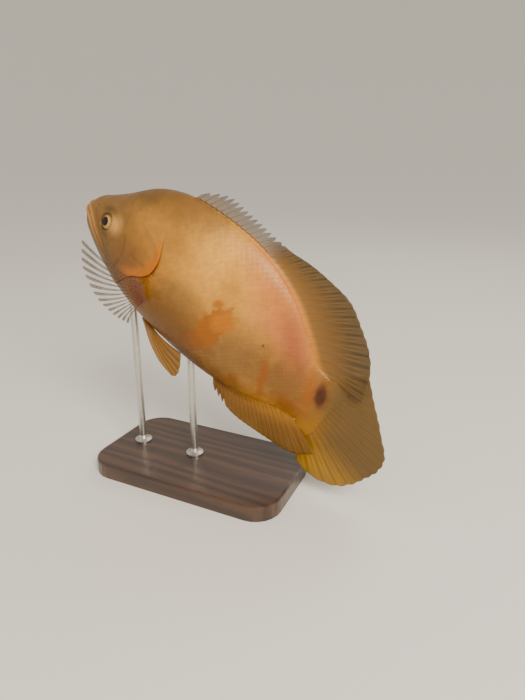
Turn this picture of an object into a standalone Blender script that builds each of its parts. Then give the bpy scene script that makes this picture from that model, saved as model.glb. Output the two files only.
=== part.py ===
"""Life-size museum model of a pale oscar (Astronotus ocellatus), hovering head-up on a display stand.

The fish is worked out in its own frame, as shares of its standard length: x runs back from the
snout, y to its right and z up its back. The midline is then bent, the fish is pitched head-up,
and it is set over the middle of the stand's base, whose underside is the origin's plane.
"""
import math

import bmesh
import bpy
import numpy as np
from mathutils import Matrix, Vector

# Size and pose: metres, radians, and shares of the standard length
STANDARD_LENGTH = 0.220
PITCH = math.radians(36.2)
BEND_PIVOT, HEAD_BEND, TAIL_BEND = 0.45, 0.016, 0.005
SNOUT_HEIGHT = 0.208
BALANCE = (0.475, 0.02)
GAP = 0.0003

# The body's sections, at stations given as shares of the standard length
STATION = (0.00, 0.05, 0.11, 0.19, 0.28, 0.38, 0.48, 0.58, 0.68, 0.78, 0.87, 0.94, 1.00)
BACK = (0.026, 0.060, 0.112, 0.191, 0.242, 0.265, 0.276, 0.276, 0.257, 0.217, 0.160, 0.114, 0.104)
BELLY = (-0.056, -0.093, -0.125, -0.156, -0.182, -0.198, -0.205,
         -0.205, -0.196, -0.172, -0.138, -0.104, -0.090)
WIDEST = (-0.020, -0.018, -0.012, -0.004, 0.002, 0.006, 0.010, 0.012, 0.012, 0.010, 0.006, 0.003, 0.003)
HALF_WIDTH = (0.038, 0.055, 0.074, 0.093, 0.104, 0.107, 0.102, 0.090, 0.074, 0.056, 0.040, 0.028, 0.019)
UPPER_POWER = (1.00, 1.00, 1.00, 1.04, 1.10, 1.16, 1.20, 1.20, 1.20, 1.18, 1.12, 1.06, 1.00)
LOWER_POWER = (1.00, 0.98, 0.95, 0.92, 0.92, 0.95, 1.00, 1.06, 1.12, 1.12, 1.08, 1.04, 1.00)
NOSE_ROUNDING = 0.042

# Where the body is parted: the gill cover's rear edge round the section, and the tail stalk
GILL_DEGREES = (-90, -70, -50, -30, -15, -6, 3, 12, 21, 35, 60, 90)
GILL_EDGE = (0.226, 0.238, 0.256, 0.280, 0.312, 0.350, 0.367, 0.366, 0.350, 0.320, 0.300, 0.298)
STALK_START = 0.945
FLAP_HEIGHT, FLAP_LENGTH = 0.0014, 0.050
FLAP_RANGE = (-70, -45, 14, 36)

# Features of the head: places as shares, sizes in metres
EYE_PLACE = (0.126, 0.017)
EYE_RADIUS, EYE_DEPTH, EYE_PROUD = 0.0072, 0.0050, 0.0018
ORBIT_RADIUS, ORBIT_ROLL = 0.0074, 0.0009
NOSTRIL_PLACE, NOSTRIL_RADIUS = (0.054, 0.024), 0.0011
MOUTH = ((0.001, -0.010), (0.012, -0.010), (0.041, -0.014), (0.068, -0.028), (0.094, -0.043),
         (0.122, -0.057), (0.148, -0.069), (0.168, -0.078))
LIP_OFFSET, LIP_RADIUS, LIP_SINK = 0.0016, 0.0019, 0.0009
CHEEK_CREASE = ((0.222, 0.035), (0.236, 0.005), (0.242, -0.035), (0.232, -0.075))
CREASE_RADIUS = 0.0007

# How finely the body is divided
RING_SIDES = 44
NOSE_RINGS, HEAD_RINGS, TRUNK_RINGS, STALK_RINGS = 6, 18, 18, 3
CAP_SHARES = (0.66, 0.33)

# Fins: thickness in metres; the rest as shares and degrees, from the first ray to the last
MEMBRANE, RAY_RIDGE, TIP_HALF = 0.0006, 0.00035, 0.0002
FIN_ROWS = (0.0, 0.16, 0.38, 0.62, 0.84, 1.0)
SPINE_NOTCH, RAY_NOTCH = 0.38, 0.02
SWAY_POWER = 1.4

DORSAL_SPINES, DORSAL_RAYS = 13, 20
DORSAL_BASE = (0.318, 0.966)
DORSAL_LENGTH = ((0.0, 0.035), (0.06, 0.070), (0.20, 0.070), (0.40, 0.062), (0.47, 0.068), (0.54, 0.095),
                 (0.62, 0.127), (0.70, 0.158), (0.78, 0.170), (0.86, 0.180), (0.94, 0.175), (1.0, 0.148))
DORSAL_LEAN = ((0.0, 62.0), (0.20, 57.0), (0.50, 52.0), (0.62, 46.0), (0.78, 41.0), (0.92, 30.0),
               (1.0, 12.0))
DORSAL_SWAY = ((0.0, 0.0), (0.35, 0.004), (0.60, 0.010), (0.80, -0.006), (1.0, -0.030))

ANAL_SPINES, ANAL_RAYS = 3, 16
ANAL_BASE = (0.700, 0.966)
ANAL_LENGTH = ((0.0, 0.042), (0.17, 0.080), (0.42, 0.112), (0.68, 0.140), (0.86, 0.157), (1.0, 0.160))
ANAL_LEAN = ((0.0, 56.0), (0.17, 51.0), (0.42, 45.0), (0.68, 41.0), (0.86, 32.0), (1.0, 15.0))
ANAL_SWAY = ((0.0, 0.0), (0.35, -0.006), (0.65, 0.002), (1.0, -0.028))

CAUDAL_RAYS = 17
CAUDAL_LENGTH = ((0.0, 0.115), (0.12, 0.150), (0.30, 0.222), (0.45, 0.288), (0.55, 0.300), (0.65, 0.296),
                 (0.75, 0.292), (0.85, 0.272), (0.93, 0.228), (1.0, 0.165))
CAUDAL_LEAN = ((0.0, 50.0), (0.10, 32.0), (0.30, 12.0), (0.55, -3.0), (0.75, -18.0), (0.90, -35.0),
               (1.0, -53.0))
CAUDAL_ROOT, CAUDAL_NOTCH = 0.97, 0.975
CAUDAL_SWAY = ((0.0, 0.016), (0.30, -0.006), (0.55, -0.010), (0.80, 0.004), (1.0, 0.016))

PECTORAL_RAYS = 14
PECTORAL_BASE = ((0.362, -0.042), (0.388, -0.084))
PECTORAL_TIPS = ((-0.200, -0.105, 0.040), (-0.130, -0.150, 0.005), (-0.055, -0.150, -0.030),
                 (0.000, -0.125, -0.045), (0.030, -0.075, -0.060))

PELVIC_RAYS = 6
PELVIC_BASE = ((0.385, -0.186), (0.408, -0.197))
PELVIC_TIPS = ((0.150, -0.034, -0.064), (0.206, -0.038, -0.067), (0.216, -0.040, -0.046),
               (0.200, -0.042, -0.010), (0.172, -0.046, 0.032))

# The paired fins' bow away from the skin, as a share, and half their root's thickness in metres
PECTORAL_BOW, PECTORAL_ROOT = 0.020, 0.0014
PELVIC_BOW, PELVIC_ROOT = 0.008, 0.0015
PAIRED_NOTCH = 0.97

# Stand, in metres; the rods' feet are placed by the station that they hold
BASE_SIZE, BASE_ROUNDING, BASE_EASING = (0.160, 0.090, 0.012), 0.020, 0.0015
ROD_RADIUS, ROD_FOOT_RADIUS, ROD_FOOT_HEIGHT, ROD_SPARE = 0.0028, 0.0070, 0.0020, 0.012
ROD_STATIONS = {"front": 0.300, "rear": 0.600}

# Colour, roughness and metallic value
MATERIALS = {
    "skin": ((0.72, 0.47, 0.25), 0.42, 0.0),
    "fin": ((0.62, 0.42, 0.20), 0.45, 0.0),
    "eye": ((0.16, 0.05, 0.03), 0.12, 0.0),
    "base": ((0.060, 0.038, 0.026), 0.40, 0.0),
    "rod": ((0.60, 0.57, 0.52), 0.30, 1.0),
}


def through(stations, values, at):
    """A smooth curve through the points: on each stretch a cubic with the neighbours' mean slopes."""
    stations = np.asarray(stations, float)
    values = np.asarray(values, float)
    slopes = np.gradient(values, stations)
    at = np.clip(np.asarray(at, float), stations[0], stations[-1])
    left = np.clip(np.searchsorted(stations, at, side="right") - 1, 0, len(stations) - 2)
    width = stations[left + 1] - stations[left]
    t = (at - stations[left]) / width
    start = values[left] * (1 + 2 * t) * (1 - t) ** 2 + slopes[left] * width * t * (1 - t) ** 2
    end = values[left + 1] * t * t * (3 - 2 * t) - slopes[left + 1] * width * t * t * (1 - t)
    return start + end


def along(pairs, share):
    """A smooth curve through (share, value) pairs."""
    return through([p[0] for p in pairs], [p[1] for p in pairs], share)


def soft_step(value, low, high):
    """0 below low and 1 above high, with a soft S between."""
    t = np.clip((value - low) / (high - low), 0.0, 1.0)
    return t * t * (3 - 2 * t)


def placed(points):
    """Points of the fish's frame, as shares, after the bend, the pitch and the setting on the stand."""
    x, y, z = np.moveaxis(np.asarray(points, float), -1, 0)
    cos, sin = math.cos(PITCH), math.sin(PITCH)
    ahead = x - BEND_PIVOT
    bend = np.where(ahead < 0, HEAD_BEND, TAIL_BEND)
    slope = 2 * bend * ahead
    turn = 1 / np.sqrt(1 + slope ** 2)
    bent_x = x - y * slope * turn
    bent_y = bend * ahead ** 2 + y * turn
    balance_x = BALANCE[0] * cos + BALANCE[1] * sin
    world = np.stack([bent_x * cos + z * sin - balance_x, bent_y, z * cos - bent_x * sin], axis=-1)
    return world * STANDARD_LENGTH + np.array([0.0, 0.0, SNOUT_HEIGHT])


def section(station):
    """Centre height, rise, drop, half width and the two powers of the body's section."""
    sizes = (WIDEST, BACK, BELLY, HALF_WIDTH, UPPER_POWER, LOWER_POWER)
    centre, back, belly, half, upper, lower = (through(STATION, size, station) for size in sizes)
    nose = np.clip(1 - np.asarray(station, float) / NOSE_ROUNDING, 0, 1)
    shrink = np.sqrt(1 - nose ** 2)
    return centre, (back - centre) * shrink, (centre - belly) * shrink, half * shrink, upper, lower


def body(station, angle, swell=0.0):
    """A point of the body's surface at a station and an angle round it, 0 at its right side.

    y is half the width times cos to a power, z is the centre plus sin times the rise or the drop.
    """
    station, angle = np.broadcast_arrays(np.asarray(station, float), np.asarray(angle, float))
    centre, rise, drop, half, upper, lower = section(station)
    sine, cosine = np.sin(angle), np.cos(angle)
    power = np.where(sine > 0, upper, lower)
    y = (half + swell) * np.sign(cosine) * np.abs(cosine) ** power
    z = centre + sine * (np.where(sine > 0, rise, drop) + swell)
    return np.stack([station, y, z], axis=-1)


def outward(station, angle):
    """The surface's outward direction: the cross product of its steps round and along the body."""
    step = 1e-4
    lengthwise = body(station + step, angle) - body(station - step, angle)
    around = body(station, angle + step) - body(station, angle - step)
    normal = np.cross(around, lengthwise)
    return normal / np.maximum(np.linalg.norm(normal, axis=-1, keepdims=True), 1e-12)


def side_angle(station, height):
    """The angle, on the fish's left, at which the section at a station has this height."""
    centre, rise, drop = section(station)[:3]
    share = (height - centre) / np.where(height > centre, rise, drop)
    return math.pi - np.arcsin(np.clip(share, -1, 1))


def gill_edge(angle):
    """The station of the gill cover's rear edge at an angle round the body, alike on both sides."""
    return through(GILL_DEGREES, GILL_EDGE, np.degrees(np.arcsin(np.sin(angle))))


def flap(station, angle):
    """How far the gill cover stands proud: rising to its rear edge, on the sides of the head only."""
    degrees = np.degrees(np.arcsin(np.sin(angle)))
    sides = soft_step(degrees, *FLAP_RANGE[:2]) * (1 - soft_step(degrees, *FLAP_RANGE[2:]))
    edge = gill_edge(angle)
    return sides * soft_step(station, edge - FLAP_LENGTH, edge) * FLAP_HEIGHT / STANDARD_LENGTH


def material(kind):
    """The Principled material of a kind of piece, made once."""
    found = bpy.data.materials.get(kind)
    if found:
        return found
    colour, roughness, metallic = MATERIALS[kind]
    made = bpy.data.materials.new(kind)
    made.use_nodes = True
    shader = made.node_tree.nodes["Principled BSDF"]
    shader.inputs["Base Color"].default_value = (*colour, 1.0)
    shader.inputs["Roughness"].default_value = roughness
    shader.inputs["Metallic"].default_value = metallic
    made.diffuse_color = (*colour, 1.0)
    return made


def add_object(name, mesh, kind, collection):
    """A new object for a mesh, with its material, in a collection."""
    thing = bpy.data.objects.new(name, mesh)
    mesh.materials.clear()
    mesh.materials.append(material(kind))
    collection.objects.link(thing)
    return thing


def add_mesh(name, vertices, faces, kind, collection):
    """A mesh object from vertices and faces, with its faces turned outwards."""
    mesh = bpy.data.meshes.new(name)
    mesh.from_pydata(np.asarray(vertices).reshape(-1, 3).tolist(), [], faces)
    work = bmesh.new()
    work.from_mesh(mesh)
    bmesh.ops.recalc_face_normals(work, faces=work.faces)
    work.to_mesh(mesh)
    work.free()
    mesh.shade_smooth()
    mesh.set_sharp_from_angle(angle=math.radians(50))
    return add_object(name, mesh, kind, collection)


def loft(name, rings, first_pole, last_pole, kind, collection):
    """A closed skin over rings of equal count, drawn to a pole point at each end."""
    count, sides = len(rings), len(rings[0])
    vertices = np.concatenate([np.reshape(rings, (-1, 3)), [first_pole, last_pole]])
    faces = []
    for side in range(sides):
        after = (side + 1) % sides
        for ring in range(count - 1):
            low, high = ring * sides, (ring + 1) * sides
            faces.append((low + side, low + after, high + after, high + side))
        last = (count - 1) * sides
        faces.append((count * sides, after, side))
        faces.append((count * sides + 1, last + side, last + after))
    return add_mesh(name, placed(vertices), faces, kind, collection)


def ring_angles():
    """The angles of a ring's points, closer together at the back and belly, where the section turns."""
    even = np.arange(RING_SIDES) * 2 * math.pi / RING_SIDES
    return even + 0.12 * np.sin(2 * even)


def nose_stations():
    """Stations that round the nose off, evenly by angle."""
    turn = np.linspace(0, math.pi / 2, NOSE_RINGS + 1)[1:]
    return NOSE_ROUNDING * (1 - np.cos(turn))


def cap_rings(edge, middle):
    """Rings that close an opening, drawn in from its edge towards its middle."""
    return [middle + share * (edge - middle) for share in CAP_SHARES]


def gill_middle(shift):
    """The middle of the parting face between head and trunk."""
    return np.array([GILL_EDGE[-1] + shift, 0.0, 0.02])


def make_head(collection):
    """The head: a rounded nose, then rings spread back to the gill cover's raised rear edge."""
    angles = ring_angles()
    rings = [body(station, angles) for station in nose_stations()]
    edge = gill_edge(angles)
    for share in np.linspace(0, 1, HEAD_RINGS + 1)[1:]:
        station = NOSE_ROUNDING + (edge - NOSE_ROUNDING) * share
        lift = flap(station, angles)[:, None] * outward(station, angles)
        rings.append(body(station, angles) + lift)
    rim = body(edge, angles)
    middle = gill_middle(0.0)
    rings += [rim] + cap_rings(rim, middle)
    tip = np.array([0.0, 0.0, WIDEST[0]])
    return loft("head", np.array(rings), tip, middle, "skin", collection)


def trunk_stations(angles):
    """The stations of the trunk's rings at these angles, evenly spread from gill cover to stalk."""
    start = gill_edge(angles) + GAP / STANDARD_LENGTH
    shares = np.linspace(0, 1, TRUNK_RINGS + 1).reshape((-1,) + (1,) * np.ndim(start))
    return start + (STALK_START - start) * shares


def fin_seat(station, angle):
    """The height at which a fin sits on the back or belly, a gap off the faceted ridge."""
    rings = np.append(trunk_stations(angle), STATION[-1])
    height = np.interp(station, rings, body(rings, angle)[:, 2])
    return height + np.sign(math.sin(angle)) * GAP / STANDARD_LENGTH


def make_trunk(collection):
    """The trunk, from the parting face behind the gill covers to the tail stalk."""
    angles = ring_angles()
    shift = GAP / STANDARD_LENGTH
    rings = [body(station, angles) for station in trunk_stations(angles)]
    middle = gill_middle(shift)
    rings = cap_rings(rings[0], middle)[::-1] + rings
    tail_middle = np.array([STALK_START, 0.0, WIDEST[-1]])
    return loft("trunk", np.array(rings), middle, tail_middle, "skin", collection)


def make_tail_stalk(collection):
    """The short tail stalk, between the trunk and the tail fin."""
    first = STALK_START + GAP / STANDARD_LENGTH
    rings = [body(station, ring_angles()) for station in np.linspace(first, STATION[-1], STALK_RINGS + 1)]
    front, rear = (np.array([station, 0.0, WIDEST[-1]]) for station in (first, STATION[-1]))
    return loft("tail_stalk", np.array(rings), front, rear, "skin", collection)


def make_swollen_body(collection):
    """The whole body as one shape, larger all round by the gap, to cut what meets the skin."""
    swell = GAP / STANDARD_LENGTH
    stations = np.concatenate([nose_stations(), np.linspace(NOSE_ROUNDING, STATION[-1], 46)[1:]])
    rings = [body(station, ring_angles(), swell) for station in stations]
    ends = (np.array([station, 0.0, WIDEST[0]]) for station in (-swell, STATION[-1]))
    return loft("swollen_body", np.array(rings), *ends, "skin", collection)


def apply_boolean(thing, operation, other=None, others=None):
    """Cut or join a mesh object with another, or with all those of a collection, and apply it."""
    step = thing.modifiers.new(operation.title(), "BOOLEAN")
    step.operation = operation
    step.solver = "EXACT"
    if others is None:
        step.object = other
    else:
        step.operand_type = "COLLECTION"
        step.collection = others
    graph = bpy.context.evaluated_depsgraph_get()
    mesh = bpy.data.meshes.new_from_object(thing.evaluated_get(graph))
    thing.modifiers.clear()
    thing.data = mesh
    keep_largest(mesh)


def keep_largest(mesh):
    """Keep only the mesh's largest closed surface, by volume."""
    work = bmesh.new()
    work.from_mesh(mesh)
    bmesh.ops.remove_doubles(work, verts=work.verts, dist=1e-7)
    bmesh.ops.triangulate(work, faces=work.faces)
    left = set(work.faces)
    shells = []
    while left:
        shell, edge_of_search = [], [left.pop()]
        while edge_of_search:
            face = edge_of_search.pop()
            shell.append(face)
            near = {other for edge in face.edges for other in edge.link_faces} & left
            left -= near
            edge_of_search.extend(near)
        shells.append(shell)
    largest = max(shells, key=shell_volume)
    loose = [face for shell in shells if shell is not largest for face in shell]
    bmesh.ops.delete(work, geom=loose, context="FACES")
    work.to_mesh(mesh)
    work.free()


def shell_volume(shell):
    """The volume inside a shell of triangles: the sum of its corners' triple products, over six."""
    total = 0.0
    for face in shell:
        a, b, c = (vertex.co for vertex in face.verts)
        total += a.dot(b.cross(c))
    return abs(total) / 6


def remove(things):
    """Remove helper objects."""
    for thing in list(things):
        bpy.data.objects.remove(thing)


def skin_frame(place, mirrored):
    """A matrix at a place on the side of the head, its Z axis straight out of the skin."""
    station, height = place
    angle = side_angle(station, height)
    point = body(station, angle)
    tip = point + outward(station, angle)
    if mirrored:
        point[1], tip[1] = -point[1], -tip[1]
    start, end = (Vector(placed(p)) for p in (point, tip))
    out = (end - start).normalized()
    return Matrix.Translation(start) @ out.to_track_quat("Z", "Y").to_matrix().to_4x4()


def add_ball(name, frame, radius, depth, sunk, kind, collection):
    """An eye-shaped ball: a sphere squashed along the frame's Z and sunk below its origin."""
    mesh = bpy.data.meshes.new(name)
    work = bmesh.new()
    bmesh.ops.create_uvsphere(work, u_segments=20, v_segments=12, radius=1.0)
    squash = Matrix.Diagonal((radius, radius, depth, 1.0))
    bmesh.ops.transform(work, matrix=frame @ Matrix.Translation((0, 0, -sunk)) @ squash, verts=work.verts)
    work.to_mesh(mesh)
    work.free()
    mesh.shade_smooth()
    return add_object(name, mesh, kind, collection)


def make_eyes(collection):
    """Both eyes, seated so that only their front stands proud of the skin."""
    for side, mirrored in (("left", False), ("right", True)):
        frame = skin_frame(EYE_PLACE, mirrored)
        add_ball(f"eye_{side}", frame, EYE_RADIUS, EYE_DEPTH, EYE_DEPTH - EYE_PROUD, "eye", collection)


def add_orbit(frame, collection):
    """The soft roll of skin round an eye, as a ring half sunk in the head."""
    bpy.ops.mesh.primitive_torus_add(major_radius=ORBIT_RADIUS, minor_radius=ORBIT_ROLL,
                                     major_segments=22, minor_segments=6)
    ring = bpy.context.object
    ring.data.transform(frame @ Matrix.Translation((0, 0, -ORBIT_ROLL)))
    for owner in ring.users_collection:
        owner.objects.unlink(ring)
    collection.objects.link(ring)


def add_tube(name, points, radii, collection):
    """A tube along points, as a mesh: a curve with a bevel and filled, welded caps."""
    curve = bpy.data.curves.new(name, "CURVE")
    curve.dimensions = "3D"
    curve.bevel_depth = 1.0
    curve.bevel_resolution = 1
    curve.use_fill_caps = True
    line = curve.splines.new("POLY")
    line.points.add(len(points) - 1)
    line.points.foreach_set("co", np.c_[points, np.ones(len(points))].ravel())
    line.points.foreach_set("radius", np.asarray(radii, float))
    guide = bpy.data.objects.new(name, curve)
    collection.objects.link(guide)
    graph = bpy.context.evaluated_depsgraph_get()
    mesh = bpy.data.meshes.new_from_object(guide.evaluated_get(graph))
    remove([guide])
    work = bmesh.new()
    work.from_mesh(mesh)
    bmesh.ops.remove_doubles(work, verts=work.verts, dist=1e-6)
    bmesh.ops.recalc_face_normals(work, faces=work.faces)
    work.to_mesh(mesh)
    work.free()
    return add_object(name, mesh, "skin", collection)


def side_curve(places, count):
    """Stations and angles of a smooth curve over the left side, through (station, height) places."""
    share = np.linspace(0, 1, count)
    knots = np.linspace(0, 1, len(places))
    station, height = (through(knots, [place[axis] for place in places], share) for axis in (0, 1))
    return share, station, side_angle(station, height)


def side_line(places, mirrored, count=13):
    """A line over one side of the head, and how thick a tube along it is at each point."""
    share, station, angle = side_curve(places, count)
    points = body(station, angle)
    if mirrored:
        points[:, 1] *= -1
    return placed(points), np.sin(np.pi * (0.1 + 0.8 * share))


def lip_line(side, count=17):
    """A lip's line from corner to corner, and how thick it is, from its middle to its corners.

    The left half starts from the mouth line, is moved across that line over the skin, sinks a
    little, and is mirrored.
    """
    share, station, angle = side_curve(MOUTH, count)
    line, out = body(station, angle), outward(station, angle)
    across = np.cross(np.gradient(line, axis=0), out)
    across /= np.linalg.norm(across, axis=-1, keepdims=True)
    fade = 1 - 0.70 * share ** 3
    line = line + (side * LIP_OFFSET * fade[:, None] * across - LIP_SINK * out) / STANDARD_LENGTH
    line[0, 1] = 0.0
    right = line[:0:-1] * np.array([1, -1, 1])
    return np.concatenate([right, line]), np.concatenate([fade[:0:-1], fade])


def add_lips(collection):
    """The two lips: rolls that follow the mouth, thinning towards its corners."""
    for name, side in (("upper_lip", 1), ("lower_lip", -1)):
        points, fade = lip_line(side)
        add_tube(name, placed(points), LIP_RADIUS * fade, collection)


def finish_head(head, cutters):
    """Join the lips and orbits to the head, then cut the eye sockets, nostrils and cheek creases."""
    rolls = bpy.data.collections.new("head rolls")
    holes = bpy.data.collections.new("head hollows")
    for group in (rolls, holes):
        cutters.children.link(group)
    add_lips(rolls)
    for side, mirrored in (("left", False), ("right", True)):
        eye, nostril = skin_frame(EYE_PLACE, mirrored), skin_frame(NOSTRIL_PLACE, mirrored)
        add_orbit(eye, rolls)
        add_ball(f"socket_{side}", eye, EYE_RADIUS + GAP, EYE_DEPTH + GAP, EYE_DEPTH - EYE_PROUD,
                 "skin", holes)
        add_ball(f"nostril_{side}", nostril, NOSTRIL_RADIUS, NOSTRIL_RADIUS, 0.0, "skin", holes)
        points, fade = side_line(CHEEK_CREASE, mirrored)
        add_tube(f"cheek_crease_{side}", points, CREASE_RADIUS * fade, holes)
    apply_boolean(head, "UNION", others=rolls)
    apply_boolean(head, "DIFFERENCE", others=holes)
    for group in (rolls, holes):
        remove(group.objects)
        bpy.data.collections.remove(group)


def fin_columns(count):
    """Column places across a fin, a valley and a ray in turn, and which of them are rays."""
    places = np.linspace(0, 1, 2 * count + 1)
    rays = np.arange(2 * count + 1) % 2
    return places, rays


def add_vane(name, middle, across, half, kind, collection):
    """A thin closed vane: two sheets either side of a middle grid, split alike and joined at the rim."""
    rows, columns = half.shape
    across = across / np.linalg.norm(across, axis=-1, keepdims=True)
    offset = across * half[..., None]
    vertices = np.concatenate([(middle + offset).reshape(-1, 3), (middle - offset).reshape(-1, 3)])
    number = np.arange(rows * columns).reshape(rows, columns)
    corners = number[:-1, :-1], number[:-1, 1:], number[1:, 1:], number[1:, :-1]
    a, b, c, d = (corner.ravel() for corner in corners)
    sheet = np.concatenate([np.stack([a, b, c], 1), np.stack([a, c, d], 1)])
    rim = np.concatenate([number[0], number[1:, -1], number[-1, -2::-1], number[-2:0:-1, 0]])
    after = np.roll(rim, -1)
    other = rows * columns
    edge = np.concatenate([np.stack([rim, rim + other, after + other], 1),
                           np.stack([rim, after + other, after], 1)])
    faces = np.concatenate([sheet, sheet[:, ::-1] + other, edge])
    return add_mesh(name, vertices, faces.tolist(), kind, collection)


def ray_half(rays, rows, root_half=0.0):
    """Half the thickness over a fin's grid, in metres: membrane, ray ridges that taper, thin tips."""
    rows = np.asarray(rows)[:, None]
    ridge = RAY_RIDGE * rays[None, :] * (1 - 0.6 * rows)
    root = root_half * np.clip(1 - rows / 0.30, 0, 1) ** 1.5
    half = np.maximum(MEMBRANE / 2 + ridge, root)
    return np.where(rows >= 1.0, TIP_HALF, half)


def grid_across(middle):
    """The direction across a grid of points: the cross product of its steps along rows and columns."""
    return np.cross(np.gradient(middle, axis=0), np.gradient(middle, axis=1))


def median_fin(base_x, base_z, lean, length, sway):
    """The middle grid of a fin in the body's own plane, from its rays' roots, leans and lengths."""
    rows = np.array(FIN_ROWS)[:, None]
    x = base_x + rows * length * np.cos(lean)
    z = base_z + rows * length * np.sin(lean)
    y = sway * rows ** SWAY_POWER + 0 * x
    return np.stack([x, y, z], axis=-1)


def spine_fringe(places, rays, spine_share):
    """How far each column reaches: spines stand past the membrane, soft rays hardly do."""
    spiny = 1 - soft_step(places, spine_share - 0.04, spine_share + 0.06)
    return np.where(rays > 0, 1.0, 1 - SPINE_NOTCH * spiny - RAY_NOTCH)


def make_dorsal_fin(collection):
    """The back fin: a low spiny front that runs into the tall soft lobe over the tail."""
    count = DORSAL_SPINES + DORSAL_RAYS
    places, rays = fin_columns(count)
    station = DORSAL_BASE[0] + (DORSAL_BASE[1] - DORSAL_BASE[0]) * places
    base_z = fin_seat(station, math.pi / 2)
    length = along(DORSAL_LENGTH, places) * spine_fringe(places, rays, DORSAL_SPINES / count)
    lean = np.radians(along(DORSAL_LEAN, places))
    middle = placed(median_fin(station, base_z, lean, length, along(DORSAL_SWAY, places)))
    return add_vane("dorsal_fin", middle, grid_across(middle), ray_half(rays, FIN_ROWS), "fin", collection)


def make_anal_fin(collection):
    """The anal fin, under the tail: three short spines and a soft lobe."""
    count = ANAL_SPINES + ANAL_RAYS
    places, rays = fin_columns(count)
    station = ANAL_BASE[0] + (ANAL_BASE[1] - ANAL_BASE[0]) * places
    base_z = fin_seat(station, -math.pi / 2)
    length = along(ANAL_LENGTH, places) * spine_fringe(places, rays, ANAL_SPINES / count)
    lean = -np.radians(along(ANAL_LEAN, places))
    middle = placed(median_fin(station, base_z, lean, length, along(ANAL_SWAY, places)))
    return add_vane("anal_fin", middle, grid_across(middle), ray_half(rays, FIN_ROWS), "fin", collection)


def make_caudal_fin(collection):
    """The tail fin: a rounded fan whose root is as thick as the end of the tail stalk."""
    places, rays = fin_columns(CAUDAL_RAYS)
    centre, rise, drop, half_width, upper, _ = section(STATION[-1])
    spread = 1 - 2 * places
    base_z = centre + CAUDAL_ROOT * spread * np.where(spread > 0, rise, drop)
    lean = np.radians(along(CAUDAL_LEAN, places))
    length = along(CAUDAL_LENGTH, places) * np.where(rays > 0, 1.0, CAUDAL_NOTCH)
    station = np.full_like(places, STATION[-1] + GAP / STANDARD_LENGTH)
    middle = placed(median_fin(station, base_z, lean, length, along(CAUDAL_SWAY, places)))
    root = half_width * (1 - (CAUDAL_ROOT * spread) ** 2) ** (upper / 2) * STANDARD_LENGTH
    across = np.broadcast_to([0.0, 1.0, 0.0], middle.shape)
    half = ray_half(rays, FIN_ROWS, root[None, :])
    return add_vane("caudal_fin", middle, across, half, "fin", collection)


def make_paired_fin(name, base, tips, count, bow, root_half, mirrored, cutter, collection):
    """A fin on the side or belly, from a line on the skin and the places of its rays' tips.

    Each ray leaves the skin along its outward direction and curves to its tip. The root is sunk
    and then cut to the skin.
    """
    places, rays = fin_columns(count)
    rows = np.array(FIN_ROWS)[:, None, None]
    ends = np.array(base)
    station, height = (ends[0] + (ends[1] - ends[0]) * places[:, None]).T
    angle = side_angle(station, height)
    root, out = body(station, angle), outward(station, angle)
    knots = np.linspace(0, 1, len(tips))
    reach = np.stack([through(knots, [tip[axis] for tip in tips], places) for axis in range(3)], axis=-1)
    reach = reach * np.where(rays > 0, 1.0, PAIRED_NOTCH)[:, None]
    sink = 2 * root_half / STANDARD_LENGTH
    middle = root + rows * reach + bow * np.sin(np.pi * rows) * out - sink * (1 - rows) ** 6 * out
    if mirrored:
        middle[..., 1] *= -1
    middle = placed(middle)
    half = ray_half(rays, FIN_ROWS, root_half)
    fin = add_vane(name, middle, grid_across(middle), half, "fin", collection)
    apply_boolean(fin, "DIFFERENCE", other=cutter)
    return fin


def make_paired_fins(cutter, collection):
    """The pectoral and pelvic fins of both sides."""
    for side, mirrored in (("left", False), ("right", True)):
        make_paired_fin(f"pectoral_fin_{side}", PECTORAL_BASE, PECTORAL_TIPS, PECTORAL_RAYS,
                        PECTORAL_BOW, PECTORAL_ROOT, mirrored, cutter, collection)
        make_paired_fin(f"pelvic_fin_{side}", PELVIC_BASE, PELVIC_TIPS, PELVIC_RAYS,
                        PELVIC_BOW, PELVIC_ROOT, mirrored, cutter, collection)


def make_base(collection):
    """The stand's base: a flat slab with rounded corners and an eased edge."""
    bpy.ops.mesh.primitive_cube_add(size=1.0, location=(0, 0, BASE_SIZE[2] / 2))
    base = bpy.context.object
    base.name = "stand_base"
    base.dimensions = BASE_SIZE
    bpy.ops.object.transform_apply(location=False, rotation=False, scale=True)
    work = bmesh.new()
    work.from_mesh(base.data)
    half_height = BASE_SIZE[2] / 2
    upright = [edge for edge in work.edges if abs(edge.verts[0].co.z - edge.verts[1].co.z) > half_height]
    bmesh.ops.bevel(work, geom=upright, offset=BASE_ROUNDING, segments=6, profile=0.5, affect="EDGES")
    top = [edge for edge in work.edges if min(v.co.z for v in edge.verts) > half_height - 1e-6]
    bmesh.ops.bevel(work, geom=top, offset=BASE_EASING, segments=2, profile=0.5, affect="EDGES")
    work.to_mesh(base.data)
    work.free()
    base.data.materials.append(material("base"))
    for owner in base.users_collection:
        owner.objects.unlink(base)
    collection.objects.link(base)


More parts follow.
